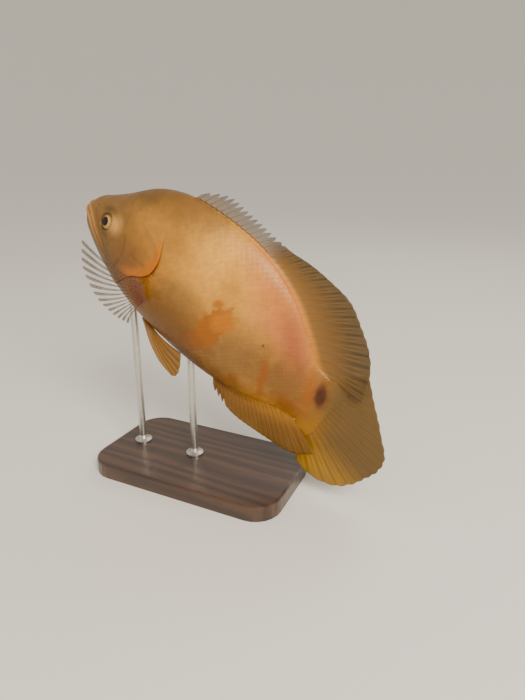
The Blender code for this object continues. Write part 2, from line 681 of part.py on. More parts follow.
def make_rod(name, station, cutter, collection):
    """A turned rod with a small foot, upright under a station of the belly and cut to the skin."""
    point = placed(body(station, -math.pi / 2))
    floor = BASE_SIZE[2] + GAP
    height = point[2] - floor + ROD_SPARE
    outline = ((0.0, height), (ROD_RADIUS, height), (ROD_RADIUS, 2.5 * ROD_FOOT_HEIGHT),
               (1.4 * ROD_RADIUS, 1.3 * ROD_FOOT_HEIGHT), (ROD_FOOT_RADIUS, ROD_FOOT_HEIGHT * 0.7),
               (ROD_FOOT_RADIUS, 0.0), (0.0, 0.0))
    mesh = bpy.data.meshes.new(name)
    edges = [(i, i + 1) for i in range(len(outline) - 1)]
    mesh.from_pydata([(x, 0.0, z) for x, z in outline], edges, [])
    rod = add_object(name, mesh, "rod", collection)
    rod.location = (point[0], 0.0, floor)
    turn = rod.modifiers.new("Turn", "SCREW")
    turn.axis = "Z"
    turn.steps = turn.render_steps = 20
    turn.use_merge_vertices = True
    turn.merge_threshold = 0.00001
    bpy.context.view_layer.update()
    graph = bpy.context.evaluated_depsgraph_get()
    mesh = bpy.data.meshes.new_from_object(rod.evaluated_get(graph))
    mesh.transform(rod.matrix_world)
    rod.modifiers.clear()
    rod.data = mesh
    rod.location = (0, 0, 0)
    bpy.context.view_layer.update()
    apply_boolean(rod, "DIFFERENCE", other=cutter)
    rod.data.shade_smooth()
    rod.data.set_sharp_from_angle(angle=math.radians(40))


def main():
    """Build the whole model."""
    remove(bpy.data.objects)
    fish = bpy.data.collections.new("oscar_fish")
    cutters = bpy.data.collections.new("cutters")
    for collection in (fish, cutters):
        bpy.context.scene.collection.children.link(collection)
    head = make_head(fish)
    finish_head(head, cutters)
    make_trunk(fish)
    make_tail_stalk(fish)
    make_eyes(fish)
    make_dorsal_fin(fish)
    make_anal_fin(fish)
    make_caudal_fin(fish)
    cutter = make_swollen_body(cutters)
    make_paired_fins(cutter, fish)
    make_base(fish)
    for place, station in ROD_STATIONS.items():
        make_rod(f"stand_rod_{place}", station, cutter, fish)
    remove([cutter])


main()
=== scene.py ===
# %% [markdown]
# # A pale oscar on its display stand
#
# A museum cast of a fish is painted skin over a carved body, with thin fins set into it. This lesson
# dresses the plain solids of the frame: one seamless skin with lips, gill covers and eye sockets, a
# coat of small scales, fins with branching rays, moist eyes, and a wooden base with two steel rods.
# The frame comes first, because every piece lies where its solid lies.

import math

import bpy
import numpy as np
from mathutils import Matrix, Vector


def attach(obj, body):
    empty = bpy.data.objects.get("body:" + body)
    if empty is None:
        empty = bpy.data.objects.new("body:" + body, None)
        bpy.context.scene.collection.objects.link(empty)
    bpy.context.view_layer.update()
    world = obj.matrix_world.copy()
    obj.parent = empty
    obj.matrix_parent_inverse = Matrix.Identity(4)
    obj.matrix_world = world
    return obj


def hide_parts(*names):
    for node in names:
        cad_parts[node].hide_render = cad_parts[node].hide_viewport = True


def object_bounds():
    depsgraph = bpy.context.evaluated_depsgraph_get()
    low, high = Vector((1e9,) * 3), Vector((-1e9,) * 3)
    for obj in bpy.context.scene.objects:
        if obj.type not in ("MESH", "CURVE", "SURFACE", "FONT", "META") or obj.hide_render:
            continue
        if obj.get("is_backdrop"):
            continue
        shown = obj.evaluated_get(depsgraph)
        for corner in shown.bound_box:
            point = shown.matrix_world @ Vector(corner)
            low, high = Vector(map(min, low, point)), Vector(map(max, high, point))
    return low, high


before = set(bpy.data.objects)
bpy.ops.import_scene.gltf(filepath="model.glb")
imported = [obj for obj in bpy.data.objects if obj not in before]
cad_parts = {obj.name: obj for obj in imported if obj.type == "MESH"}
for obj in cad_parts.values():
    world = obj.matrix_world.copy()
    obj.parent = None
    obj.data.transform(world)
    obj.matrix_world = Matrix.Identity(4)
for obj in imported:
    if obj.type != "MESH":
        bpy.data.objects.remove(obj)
cad_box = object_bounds()
print("frame nodes:", len(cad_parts))

# %% [markdown]
# ## The fish's own frame
#
# A fish is easiest to describe lying level: how far back from the snout, how far to the side, how
# far up. Every size is a share of the standard length, the length without the tail fin. One function
# then bends the midline, pitches the fish head-up and sets it over the stand. We could pose a level
# mesh with an armature, but a formula is exact and can be read.

# %% Size, pose and sections of the body
LENGTH = 0.220
PITCH = math.radians(36.2)
BEND_PIVOT, HEAD_BEND, TAIL_BEND = 0.45, 0.016, 0.005
SNOUT_HEIGHT = 0.208
BALANCE = (0.475, 0.02)

STATION = (0.00, 0.05, 0.11, 0.19, 0.28, 0.38, 0.48, 0.58, 0.68, 0.78, 0.87, 0.94, 1.00)
BACK = (0.026, 0.060, 0.112, 0.191, 0.242, 0.265, 0.276, 0.276, 0.257, 0.217, 0.160, 0.114, 0.104)
BELLY = (-0.056, -0.093, -0.125, -0.156, -0.182, -0.198, -0.205,
         -0.205, -0.196, -0.172, -0.138, -0.104, -0.090)
WIDEST = (-0.020, -0.018, -0.012, -0.004, 0.002, 0.006, 0.010, 0.012, 0.012, 0.010, 0.006, 0.003, 0.003)
HALF_WIDTH = (0.038, 0.055, 0.074, 0.093, 0.104, 0.107, 0.102, 0.090, 0.074, 0.056, 0.040, 0.028, 0.019)
UPPER_POWER = (1.00, 1.00, 1.00, 1.04, 1.10, 1.16, 1.20, 1.20, 1.20, 1.18, 1.12, 1.06, 1.00)
LOWER_POWER = (1.00, 0.98, 0.95, 0.92, 0.92, 0.95, 1.00, 1.06, 1.12, 1.12, 1.08, 1.04, 1.00)
NOSE_ROUNDING = 0.042


def through(knots, values, at):
    """A smooth curve through points: on each stretch a cubic with the neighbours' mean slopes."""
    knots = np.asarray(knots, float)
    values = np.asarray(values, float)
    slopes = np.gradient(values, knots)
    at = np.clip(np.asarray(at, float), knots[0], knots[-1])
    left = np.clip(np.searchsorted(knots, at, side="right") - 1, 0, len(knots) - 2)
    width = knots[left + 1] - knots[left]
    t = (at - knots[left]) / width
    start = values[left] * (1 + 2 * t) * (1 - t) ** 2 + slopes[left] * width * t * (1 - t) ** 2
    end = values[left + 1] * t * t * (3 - 2 * t) - slopes[left + 1] * width * t * t * (1 - t)
    return start + end


def along(pairs, share):
    """A smooth curve through (share, value) pairs."""
    return through([p[0] for p in pairs], [p[1] for p in pairs], share)


def soft_step(value, low, high):
    """0 below low and 1 above high, with a soft S between."""
    t = np.clip((np.asarray(value, float) - low) / (high - low), 0.0, 1.0)
    return t * t * (3 - 2 * t)


def hump(distance, width):
    """A bell: 1 at distance 0, falling as e to the minus (distance over width) squared."""
    return np.exp(-(distance / width) ** 2)


def placed(points):
    """Points of the fish's frame, as shares, after the bend, the pitch and the setting on the stand."""
    x, y, z = np.moveaxis(np.asarray(points, float), -1, 0)
    cos, sin = math.cos(PITCH), math.sin(PITCH)
    ahead = x - BEND_PIVOT
    bend = np.where(ahead < 0, HEAD_BEND, TAIL_BEND)
    slope = 2 * bend * ahead
    turn = 1 / np.sqrt(1 + slope ** 2)
    bent_x = x - y * slope * turn
    bent_y = bend * ahead ** 2 + y * turn
    balance_x = BALANCE[0] * cos + BALANCE[1] * sin
    world = np.stack([bent_x * cos + z * sin - balance_x, bent_y, z * cos - bent_x * sin], axis=-1)
    return world * LENGTH + np.array([0.0, 0.0, SNOUT_HEIGHT])


def section(station):
    """Centre height, rise, drop, half width and the two powers of the body's section."""
    sizes = (WIDEST, BACK, BELLY, HALF_WIDTH, UPPER_POWER, LOWER_POWER)
    centre, back, belly, half, upper, lower = (through(STATION, size, station) for size in sizes)
    nose = np.clip(1 - np.asarray(station, float) / NOSE_ROUNDING, 0, 1)
    shrink = np.sqrt(1 - nose ** 2)
    return centre, (back - centre) * shrink, (centre - belly) * shrink, half * shrink, upper, lower


def body(station, angle):
    """A point of the body at a station and an angle round it, 0 at its right side.

    y is the half width times cos to a power, z is the centre plus sin times the rise or the drop.
    """
    station, angle = np.broadcast_arrays(np.asarray(station, float), np.asarray(angle, float))
    centre, rise, drop, half, upper, lower = section(station)
    sine, cosine = np.sin(angle), np.cos(angle)
    y = half * np.sign(cosine) * np.abs(cosine) ** np.where(sine > 0, upper, lower)
    z = centre + sine * np.where(sine > 0, rise, drop)
    return np.stack([station, y, z], axis=-1)


def outward(station, angle):
    """The outward direction: the cross product of the surface's steps round and along the body."""
    step = 1e-6
    lengthwise = body(station + step, angle) - body(station - step, angle)
    around = body(station, angle + step) - body(station, angle - step)
    normal = np.cross(around, lengthwise)
    return normal / np.maximum(np.linalg.norm(normal, axis=-1, keepdims=True), 1e-18)


def side_angle(station, height):
    """The angle, on the fish's left, at which the section at a station has this height."""
    centre, rise, drop = section(station)[:3]
    share = (height - centre) / np.where(height > centre, rise, drop)
    return math.pi - np.arcsin(np.clip(share, -1, 1))


print("body depth", round((max(BACK) - min(BELLY)) * LENGTH * 1000), "mm, length", LENGTH * 1000, "mm")

# %% [markdown]
# ## The camera first
#
# The camera looks at the left side from beyond the tail and from above. Placing it first lets every
# later cell be judged in the picture's own framing. It is aimed by its azimuth, elevation, roll and
# distance from a target, like a camera on a boom, so that each number has a plain meaning.

# %% Place the camera
AIM = (0.0522, 0.0, 0.1101)
AZIMUTH, ELEVATION, ROLL = math.radians(24.73), math.radians(19.18), math.radians(-0.42)
DISTANCE = 0.3526
LENS, SENSOR = 25.71, 36.0


def add_camera():
    """A camera at a distance from its aim, turned to face it."""
    lens = bpy.data.cameras.new("camera")
    lens.lens, lens.sensor_width = LENS, SENSOR
    lens.clip_start, lens.clip_end = 0.01, 50.0
    camera = bpy.data.objects.new("camera", lens)
    away = np.array([math.sin(AZIMUTH) * math.cos(ELEVATION),
                     -math.cos(AZIMUTH) * math.cos(ELEVATION), math.sin(ELEVATION)])
    camera.location = np.array(AIM) + DISTANCE * away
    camera.rotation_euler = (math.pi / 2 - ELEVATION, ROLL, AZIMUTH)
    bpy.context.scene.collection.objects.link(camera)
    bpy.context.scene.camera = camera
    return camera


camera = add_camera()
print("camera at", [round(c, 3) for c in camera.location])

# %% [markdown]
# ## Helpers for meshes
#
# Each soft piece is a grid: a function of two parameters, worked out as whole arrays. One helper
# turns a grid into quads, and another makes the object, stores its attributes and smooths it. An
# attribute called place keeps each point's spot in the level fish, so that markings can be painted
# by station and height whatever the pose.

# %% Grids into objects


def grid_faces(rows, columns, wrap=False):
    """The quads of a grid of points, row by row, closed round its columns if wrap is set."""
    number = np.arange(rows * columns).reshape(rows, columns)
    if wrap:
        number = np.concatenate([number, number[:, :1]], axis=1)
    corners = number[:-1, :-1], number[:-1, 1:], number[1:, 1:], number[1:, :-1]
    return np.stack([corner.ravel() for corner in corners], axis=1)


def make_piece(name, points, faces, material, node_names, attributes=None):
    """A mesh object from arrays, smooth, with point attributes, riding in place of its CAD nodes."""
    mesh = bpy.data.meshes.new(name)
    mesh.from_pydata(np.asarray(points, float).reshape(-1, 3).tolist(), [], faces)
    for label, values in (attributes or {}).items():
        values = np.asarray(values, float)
        kind, field = ("FLOAT_VECTOR", "vector") if values.shape[-1:] == (3,) else ("FLOAT", "value")
        mesh.attributes.new(label, kind, "POINT").data.foreach_set(field, values.astype(np.float32).ravel())
    mesh.shade_smooth()
    mesh.materials.append(material)
    piece = bpy.data.objects.new(name, mesh)
    bpy.context.scene.collection.objects.link(piece)
    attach(piece, "root")
    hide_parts(*node_names)
    print(name, "has", sum(len(face) - 2 for face in faces), "triangles")
    return piece


# %% [markdown]
# ## Helpers for materials
#
# Colours are easier to choose as seen on a screen, so a helper turns them into the linear values
# that the shader wants. The other helpers keep the node trees short: each makes one node, group or
# material with its inputs already fed.

# %% Nodes, colours and groups


def paint(red, green, blue):
    """A linear colour with alpha 1 from the three screen values, 0 to 255."""
    screen = np.array([red, green, blue]) / 255
    linear = np.where(screen <= 0.04045, screen / 12.92, ((screen + 0.055) / 1.055) ** 2.4)
    return (*linear.tolist(), 1.0)


def feed(tree, made, inputs):
    """The node, once each input has been given a value or another node's output."""
    for key, value in dict(inputs).items():
        if isinstance(value, bpy.types.NodeSocket):
            tree.links.new(value, made.inputs[key])
        else:
            made.inputs[key].default_value = value
    return made


def add_node(tree, kind, inputs=(), **settings):
    """A shader node with its settings and its inputs."""
    made = tree.nodes.new("ShaderNode" + kind)
    for label, value in settings.items():
        setattr(made, label, value)
    return feed(tree, made, inputs)


def maths(tree, operation, first, second=0.0):
    """The output of a Math node."""
    return add_node(tree, "Math", {0: first, 1: second}, operation=operation).outputs[0]


def times(tree, first, second):
    """The product of two values."""
    return maths(tree, "MULTIPLY", first, second)


def vector_maths(tree, operation, first, second=(0.0, 0.0, 0.0), output=0):
    """An output of a Vector Math node."""
    return add_node(tree, "VectorMath", {0: first, 1: second}, operation=operation).outputs[output]


def between(tree, value, low, high):
    """A value's soft step from 0 at low to 1 at high."""
    inputs = {"Value": value, "From Min": low, "From Max": high}
    return add_node(tree, "MapRange", inputs, interpolation_type="SMOOTHSTEP").outputs[0]


def mixed(tree, share, first, second):
    """The colour output of a Mix node."""
    return add_node(tree, "Mix", {0: share, 6: first, 7: second}, data_type="RGBA").outputs[2]


def noise_value(tree, vector, scale, detail=2.0, roughness=0.5):
    """The value of a Noise Texture."""
    inputs = {"Vector": vector, "Scale": scale, "Detail": detail, "Roughness": roughness}
    return add_node(tree, "TexNoise", inputs).outputs[0]


def add_bump(tree, shader, height, strength, distance):
    """A Bump node that feeds the shader's normal."""
    bump = add_node(tree, "Bump", {"Height": height, "Strength": strength, "Distance": distance})
    tree.links.new(bump.outputs[0], shader.inputs["Normal"])


def new_group(name, inputs, outputs):
    """A node group with named sockets, and its input and output nodes."""
    group = bpy.data.node_groups.new(name, "ShaderNodeTree")
    for label, kind, value in inputs:
        socket = group.interface.new_socket(label, in_out="INPUT", socket_type="NodeSocket" + kind)
        if value is not None:
            socket.default_value = value
    for label, kind in outputs:
        group.interface.new_socket(label, in_out="OUTPUT", socket_type="NodeSocket" + kind)
    return group, group.nodes.new("NodeGroupInput"), group.nodes.new("NodeGroupOutput")


def use_group(tree, group, inputs):
    """A group placed in a tree with its own values."""
    made = tree.nodes.new("ShaderNodeGroup")
    made.node_tree = group
    return feed(tree, made, inputs)


def new_material(name):
    """An empty material with a Principled shader, its tree and the shader."""
    material = bpy.data.materials.new(name)
    material.use_nodes = True
    tree = material.node_tree
    return material, tree, tree.nodes["Principled BSDF"]


def attribute(tree, name, socket="Vector"):
    """A mesh attribute's output."""
    return add_node(tree, "Attribute", attribute_name=name).outputs[socket]


# %% [markdown]
# ## One soft patch of colour
#
# Nearly all markings on a fish are soft-edged ovals, and none is a perfect oval. A shared group makes
# one: it measures how far a spot is from the oval's middle in units of its half sizes, adds a little
# noise so that the edge wanders, and steps softly from inside to outside.

# %% The patch group


def build_patch_group():
    """Mask = soft step of the length of (place - centre), turned and over the half sizes, with noise."""
    group, given, out = new_group(
        "soft_patch",
        [("Place", "Vector", None), ("Centre", "Vector", (0.5, 0.0, 0.0)),
         ("Half Sizes", "Vector", (0.1, 9.0, 0.1)), ("Turn", "Float", 0.0), ("Softness", "Float", 0.4),
         ("Wander", "Float", 0.3), ("Grain", "Float", 30.0)],
        [("Mask", "Float")])
    flat = vector_maths(group, "MULTIPLY", given.outputs["Place"], (1.0, 0.0, 1.0))
    apart = vector_maths(group, "SUBTRACT", flat, given.outputs["Centre"])
    turned = add_node(group, "VectorRotate", {"Vector": apart, "Angle": given.outputs["Turn"]},
                      rotation_type="Y_AXIS").outputs[0]
    scaled = vector_maths(group, "DIVIDE", turned, given.outputs["Half Sizes"])
    far = vector_maths(group, "LENGTH", scaled, output="Value")
    noise = noise_value(group, given.outputs["Place"], given.outputs["Grain"], 3.0, 0.6)
    sway = times(group, maths(group, "SUBTRACT", noise, 0.5), given.outputs["Wander"])
    wandering = maths(group, "ADD", far, times(group, sway, 2.0))
    inside = maths(group, "SUBTRACT", 1.0, given.outputs["Softness"])
    outside = maths(group, "ADD", 1.0, given.outputs["Softness"])
    group.links.new(between(group, wandering, outside, inside), out.inputs["Mask"])
    return group


PATCH = build_patch_group()


def patch(tree, place, centre, half, turn=0.0, soft=0.4, wander=0.3, grain=30.0):
    """The mask of a soft oval at a station and height.

    The turn is in degrees, positive when the oval's length rises to the rear.
    """
    return use_group(tree, PATCH, {
        "Place": place, "Centre": (centre[0], 0.0, centre[1]), "Half Sizes": (half[0], 9.0, half[1]),
        "Turn": math.radians(turn), "Softness": soft, "Wander": wander, "Grain": grain}).outputs["Mask"]


print("group", PATCH.name, "has", len(PATCH.nodes), "nodes")

# %% [markdown]
# ## The markings
#
# This pale form has lost its black bars. Its ground is golden cream, paler over the upper flank,
# where a painted lit zone adds to its own pale gold. It is browner over the brow and nape and
# under the belly, partly its own colour and partly painted shade, pink along the rear of the back,
# with orange where the dark form is orange: the edge of the gill cover, a patch on the flank,
# streaks near the tail, and a rim before the dark eye-spot. Skin, scales and the fins' roots all
# use this one group, so the colours run on across them.

# %% The markings group
GROUND = paint(190, 128, 42)
# painted light: the pale colour is partly the fish's own pale gold and partly a painted lit zone on the upper
# flank
PALE_AND_LIT = paint(246, 176, 74)
# each is a name, a colour, how strong it is, and its oval: middle, half sizes, turn, softness, wander
OVALS = (
    ("tan fin root", (122, 86, 34), 1.00, (1.21, 0.000), (0.19, 0.200), 0, 0.4, 0.1),
    ("tan fins below", (146, 98, 4), 1.00, (1.20, -0.13), (0.25, 0.165), 0, 0.4, 0.1),
    # painted shade: the tail fin's root above the mid-line is darkened like the fin's upper part
    ("shaded tan fins above", (98, 74, 34), 1.00, (1.18, 0.11), (0.20, 0.140), 0, 0.4, 0.1),
    # painted shade: the crown and nape are partly the fish's own olive and partly shade painted on the top of
    # the head and back
    ("olive crown and painted shade", (70, 54, 24), 0.92, (0.17, 0.200), (0.29, 0.080), 28, 0.8, 0.5),
    ("olive nape and painted shade", (118, 80, 31), 0.70, (0.34, 0.240), (0.16, 0.055), 10, 0.8, 0.3),
    ("tan face", (104, 75, 32), 0.85, (0.13, -0.020), (0.19, 0.150), 0, 0.6, 0.3),
    ("tan shoulder", (146, 98, 38), 0.60, (0.34, 0.130), (0.070, 0.110), -20, 0.8, 0.3),
    ("pink back", (200, 106, 56), 0.65, (0.760, 0.165), (0.20, 0.062), -33, 0.8, 0.3),
    ("pink at dorsal", (156, 76, 50), 0.70, (0.850, 0.122), (0.10, 0.030), -38, 0.8, 0.3),
    # painted shade: the lower flank, breast and belly are partly the fish's own brown and partly shade
    # painted on the underside
    ("gold brown lower flank and painted shade", (112, 74, 22), 0.92, (0.50, -0.085), (0.15, 0.090), 0, 0.7, 0.5),
    ("brown belly and painted shade", (84, 50, 6), 0.92, (0.52, -0.215), (0.42, 0.105), 0, 0.7, 0.4),
    ("brown breast and painted shade", (109, 71, 17), 0.75, (0.42, -0.140), (0.12, 0.105), 0, 0.8, 0.4),
    ("grey flank", (108, 80, 46), 0.70, (0.728, -0.030), (0.100, 0.095), 20, 0.9, 0.4),
    ("grey ahead", (122, 92, 50), 0.55, (0.480, 0.020), (0.070, 0.040), 0, 0.8, 0.4),
    ("grey rear", (92, 62, 30), 0.72, (0.90, 0.000), (0.11, 0.080), 0, 0.8, 0.4),
    ("pink cheek", (116, 70, 34), 0.60, (0.275, -0.010), (0.055, 0.050), 0, 0.7, 0.3),
    ("brown chin", (74, 51, 17), 0.75, (0.215, -0.115), (0.110, 0.055), -14, 0.7, 0.3),
    ("brown orange", (116, 66, 2), 0.80, (0.575, -0.100), (0.034, 0.020), 10, 0.6, 0.7),
    ("low orange", (136, 76, 0), 0.97, (0.602, -0.066), (0.042, 0.030), 62, 0.35, 0.5),
    ("main orange", (154, 86, 0), 1.00, (0.621, 0.004), (0.078, 0.042), 86, 0.22, 0.60),
    ("bright orange", (184, 106, 0), 0.95, (0.638, 0.040), (0.040, 0.034), 60, 0.5, 0.6),
    ("orange spur", (170, 96, 0), 0.90, (0.593, 0.078), (0.020, 0.013), 60, 0.4, 0.8),
    ("rear streak", (146, 76, 4), 0.85, (0.838, -0.035), (0.066, 0.013), 108, 0.7, 0.6),
    ("small low streak", (130, 68, 8), 0.65, (0.762, -0.115), (0.030, 0.016), 60, 0.8, 0.6),
    ("low tail orange", (128, 68, 4), 0.80, (0.950, -0.055), (0.050, 0.026), 10, 0.7, 0.6),
    ("rim before the spot", (150, 80, 8), 0.85, (0.978, 0.026), (0.066, 0.018), 116, 0.7, 0.4),
    ("eye-spot edge", (104, 50, 10), 0.60, (1.010, 0.044), (0.052, 0.024), 118, 0.5, 0.3),
    ("eye-spot", (64, 28, 6), 0.95, (1.010, 0.044), (0.038, 0.016), 118, 0.45, 0.25),
    ("speck", (76, 42, 16), 0.80, (0.777, 0.061), (0.0045, 0.0045), 0, 0.4, 0.3),
    ("cream behind eye", (212, 156, 84), 0.75, (0.170, 0.036), (0.024, 0.026), 0, 0.8, 0.3),
    ("olive over eye", (70, 54, 14), 0.70, (0.108, 0.052), (0.026, 0.009), 30, 0.7, 0.2),
    ("olive under eye", (70, 52, 16), 0.65, (0.140, -0.016), (0.024, 0.009), -20, 0.7, 0.2),
)


def build_markings_group():
    """Ground colour, paler high on the flank partly as painted light, then one soft oval after another, then
    the gill cover's own bands.
    """
    group, given, out = new_group(
        "oscar_markings", [("Place", "Vector", None), ("Past Gill", "Float", 1.0)], [("Colour", "Color")])
    place = given.outputs["Place"]
    spot = add_node(group, "SeparateXYZ", {0: place})
    cloud = noise_value(group, place, 9.0, 3.0)
    mottle = noise_value(group, place, 55.0, 4.0, 0.65)
    # painted light: the pale upper flank is partly the fish's own pale gold and partly a painted lit zone
    flank = patch(group, place, (0.50, 0.200), (0.28, 0.120), -8, 0.8, 0.15)
    colour = mixed(group, times(group, flank, between(group, cloud, 0.05, 0.75)), GROUND, PALE_AND_LIT)
    for _, tone, strength, centre, half, turn, soft, wander in OVALS:
        mask = patch(group, place, centre, half, turn, soft, wander)
        colour = mixed(group, times(group, mask, strength), colour, paint(*tone))
    past, height = given.outputs["Past Gill"], spot.outputs["Z"]
    low = times(group, between(group, height, -0.075, -0.045), between(group, height, 0.125, 0.070))
    lobe_width = times(group, between(group, height, 0.130, -0.020), -0.036)
    lobe = between(group, past, maths(group, "SUBTRACT", lobe_width, 0.020), -0.008)
    lobe = times(group, times(group, lobe, low), between(group, past, 0.004, 0.001))
    colour = mixed(group, times(group, lobe, 0.90), colour, paint(184, 100, 0))
    stripe = times(group, between(group, past, 0.052, 0.010), between(group, past, -0.002, 0.002))
    stripe = times(group, stripe, between(group, height, 0.085, -0.005))
    stripe = times(group, stripe, between(group, height, -0.150, -0.080))
    colour = mixed(group, times(group, stripe, 0.88), colour, paint(134, 74, 0))
    fleck = times(group, between(group, mottle, 0.35, 0.70), 0.14)
    colour = mixed(group, fleck, colour, paint(120, 76, 30))
    group.links.new(colour, out.inputs["Colour"])
    return group


MARKINGS = build_markings_group()
print("markings use", len(OVALS), "ovals")

# %% [markdown]
# ## The skin's finish
#
# The real skin is slimy and slightly see-through, and the cast has a thin varnish over paint. So the
# shader has a little light under the surface and a soft coat. Its bump is two noises: fine pores, and
# the soft puckers of the face. Nothing here is one flat colour.

# %% Skin and scale materials


def varnish(shader, roughness, coat):
    """The constant sockets of a moist painted surface."""
    shader.inputs["Roughness"].default_value = roughness
    shader.inputs["Specular IOR Level"].default_value = 0.20
    shader.inputs["Coat Weight"].default_value = coat
    shader.inputs["Coat Roughness"].default_value = 0.28
    shader.inputs["Subsurface Weight"].default_value = 0.04
    shader.inputs["Subsurface Radius"].default_value = (1.0, 0.60, 0.30)
    shader.inputs["Subsurface Scale"].default_value = 0.0015


def skin_material():
    """Painted skin: the markings, a pale lip, painted shade in the creases, eye socket, mouth groove and gill
    slit, fine pores and puckers.
    """
    material, tree, shader = new_material("painted_skin")
    place = attribute(tree, "place")
    colour = use_group(tree, MARKINGS, {"Place": place, "Past Gill": attribute(tree, "past_gill", "Fac")})
    colour = mixed(tree, times(tree, attribute(tree, "lip", "Fac"), 0.70),
                   colour.outputs[0], paint(174, 124, 70))
    # painted shade: the crease attribute darkens the creases, the eye socket, the mouth's groove and the gill
    # slit
    colour = mixed(tree, times(tree, attribute(tree, "crease", "Fac"), 0.80),
                   colour, paint(62, 34, 12))
    tree.links.new(colour, shader.inputs["Base Color"])
    spot = add_node(tree, "TexCoord").outputs["Object"]
    pores = noise_value(tree, spot, 900.0)
    puckers = add_node(tree, "TexVoronoi", {"Vector": spot, "Scale": 420.0}, feature="SMOOTH_F1").outputs[0]
    height = maths(tree, "ADD", times(tree, pores, 0.4), puckers)
    add_bump(tree, shader, height, 0.12, 0.0006)
    varnish(shader, 0.42, 0.16)
    return material


def scale_material():
    """One scale: the markings, a tint of its own, a thin dark rim and growth rings."""
    material, tree, shader = new_material("painted_scale")
    colour = use_group(tree, MARKINGS, {"Place": attribute(tree, "place"), "Past Gill": 1.0}).outputs[0]
    own = add_node(tree, "SeparateXYZ", {0: attribute(tree, "on_scale")})
    tint = times(tree, own.outputs["Z"], 0.14)
    colour = mixed(tree, tint, colour, paint(130, 80, 34))
    rim = times(tree, between(tree, own.outputs["X"], 0.82, 1.0), 0.18)
    colour = mixed(tree, rim, colour, paint(100, 60, 22))
    tree.links.new(colour, shader.inputs["Base Color"])
    rings = maths(tree, "SINE", times(tree, own.outputs["X"], 75.0))
    add_bump(tree, shader, rings, 0.05, 0.0002)
    varnish(shader, 0.38, 0.18)
    return material


SKIN, SCALE = skin_material(), scale_material()
print("materials:", SKIN.name, SCALE.name)

# %% [markdown]
# ## The gill cover's edge
#
# The gill cover is a thin bony door over the gills. Behind it the skin dives into a slit and comes
# out again on the trunk. One grid can do this if its rows follow the door's edge: the rows ahead of
# it rise, a few rows roll over the rim and under it, and the rest start in the slit.

# %% Where the edge runs and how far the cover stands out
GILL_DEGREES = (-90, -70, -50, -30, -15, -6, 3, 12, 21, 35, 60, 90)
GILL_EDGE = (0.226, 0.238, 0.256, 0.280, 0.312, 0.350, 0.367, 0.366, 0.350, 0.320, 0.300, 0.298)
FLAP_HEIGHT, FLAP_LENGTH = 0.0014, 0.050
FLAP_RANGE = (-70, -45, 14, 36)


def gill_edge(angle):
    """The station of the gill cover's rear edge at an angle round the body, alike on both sides."""
    return through(GILL_DEGREES, GILL_EDGE, np.degrees(np.arcsin(np.sin(angle))))


def cover_share(angle):
    """1 on the sides of the head, where the gill cover is open, and 0 over the nape and throat."""
    degrees = np.degrees(np.arcsin(np.sin(angle)))
    return soft_step(degrees, *FLAP_RANGE[:2]) * (1 - soft_step(degrees, *FLAP_RANGE[2:]))


def cover_lift(station, angle):
    """How far the gill cover stands out, in metres, rising softly to its rear edge."""
    edge = gill_edge(angle)
    return cover_share(angle) * soft_step(station, edge - FLAP_LENGTH, edge) * FLAP_HEIGHT


print("gill cover stands", FLAP_HEIGHT * 1000, "mm proud")

# %% [markdown]
# ## Features of the face
#
# The face is where we look first. Each feature is a small height added to or taken from the skin,
# as a function of the distance to a point or a line: the lips either side of the mouth line, the roll
# round the eye and the socket inside it, the nostril, and the creases of the jaw, cheek and cover.

# %% Heights of the face's features
EYE_PLACE = (0.126, 0.017)
EYE_RADIUS, EYE_DEPTH, EYE_PROUD = 0.0072, 0.0050, 0.0018
EYE_OPENING, ORBIT_ROLL, SOCKET_DEPTH = 0.0060, 0.00055, 0.0034
SOCKET_RADIUS = EYE_OPENING + 0.0003
NOSTRIL_PLACE, NOSTRIL_RADIUS = (0.054, 0.024), 0.0009
MOUTH = ((0.001, -0.010), (0.012, -0.010), (0.041, -0.014), (0.068, -0.028), (0.094, -0.043),
         (0.122, -0.057), (0.148, -0.069), (0.168, -0.078))
LIP_HEIGHT, LIP_WIDTH = 0.0013, 0.0036
# each crease: its places by station and height, its depth and its width, in metres
CREASES = (
    (((0.222, 0.035), (0.236, 0.005), (0.242, -0.035), (0.232, -0.075)), 0.0005, 0.0012),
    (((0.270, 0.008), (0.296, 0.004), (0.330, 0.010)), 0.0005, 0.0011),
    (((0.058, 0.010), (0.096, -0.012), (0.134, -0.038), (0.176, -0.066)), 0.0004, 0.0011),
    (((0.160, -0.112), (0.205, -0.128), (0.255, -0.132)), 0.0004, 0.0014),
    (((0.251, 0.112), (0.290, 0.106), (0.330, 0.094), (0.358, 0.070)), -0.0005, 0.0012),
    (((0.277, 0.078), (0.312, 0.066), (0.342, 0.046)), -0.0003, 0.0010),
    (((0.140, 0.060), (0.178, 0.045), (0.190, 0.005), (0.168, -0.040)), 0.0003, 0.0012),
)
# a crease this deep would get fully dark painted shade
CREASE_SHADE = 0.0016


def distance_to_line(points, line):
    """The distance from each point to the nearest stretch of a line of points."""
    nearest = np.full(points.shape[:-1], np.inf)
    for start, end in zip(line[:-1], line[1:]):
        step = end - start
        share = np.clip((points - start) @ step / (step @ step), 0, 1)
        nearest = np.minimum(nearest, np.linalg.norm(points - start - share[..., None] * step, axis=-1))
    return nearest


def left_side(points):
    """Points folded over to the fish's left, so that one feature serves both sides."""
    return points * np.array([1, 0, 1]) - np.abs(points) * np.array([0, 1, 0])


def on_side(places, count=17):
    """A smooth line over the left side through places given by station and height."""
    share = np.linspace(0, 1, count)
    knots = np.linspace(0, 1, len(places))
    station, height = (through(knots, [p[axis] for p in places], share) for axis in (0, 1))
    return body(station, side_angle(station, height))


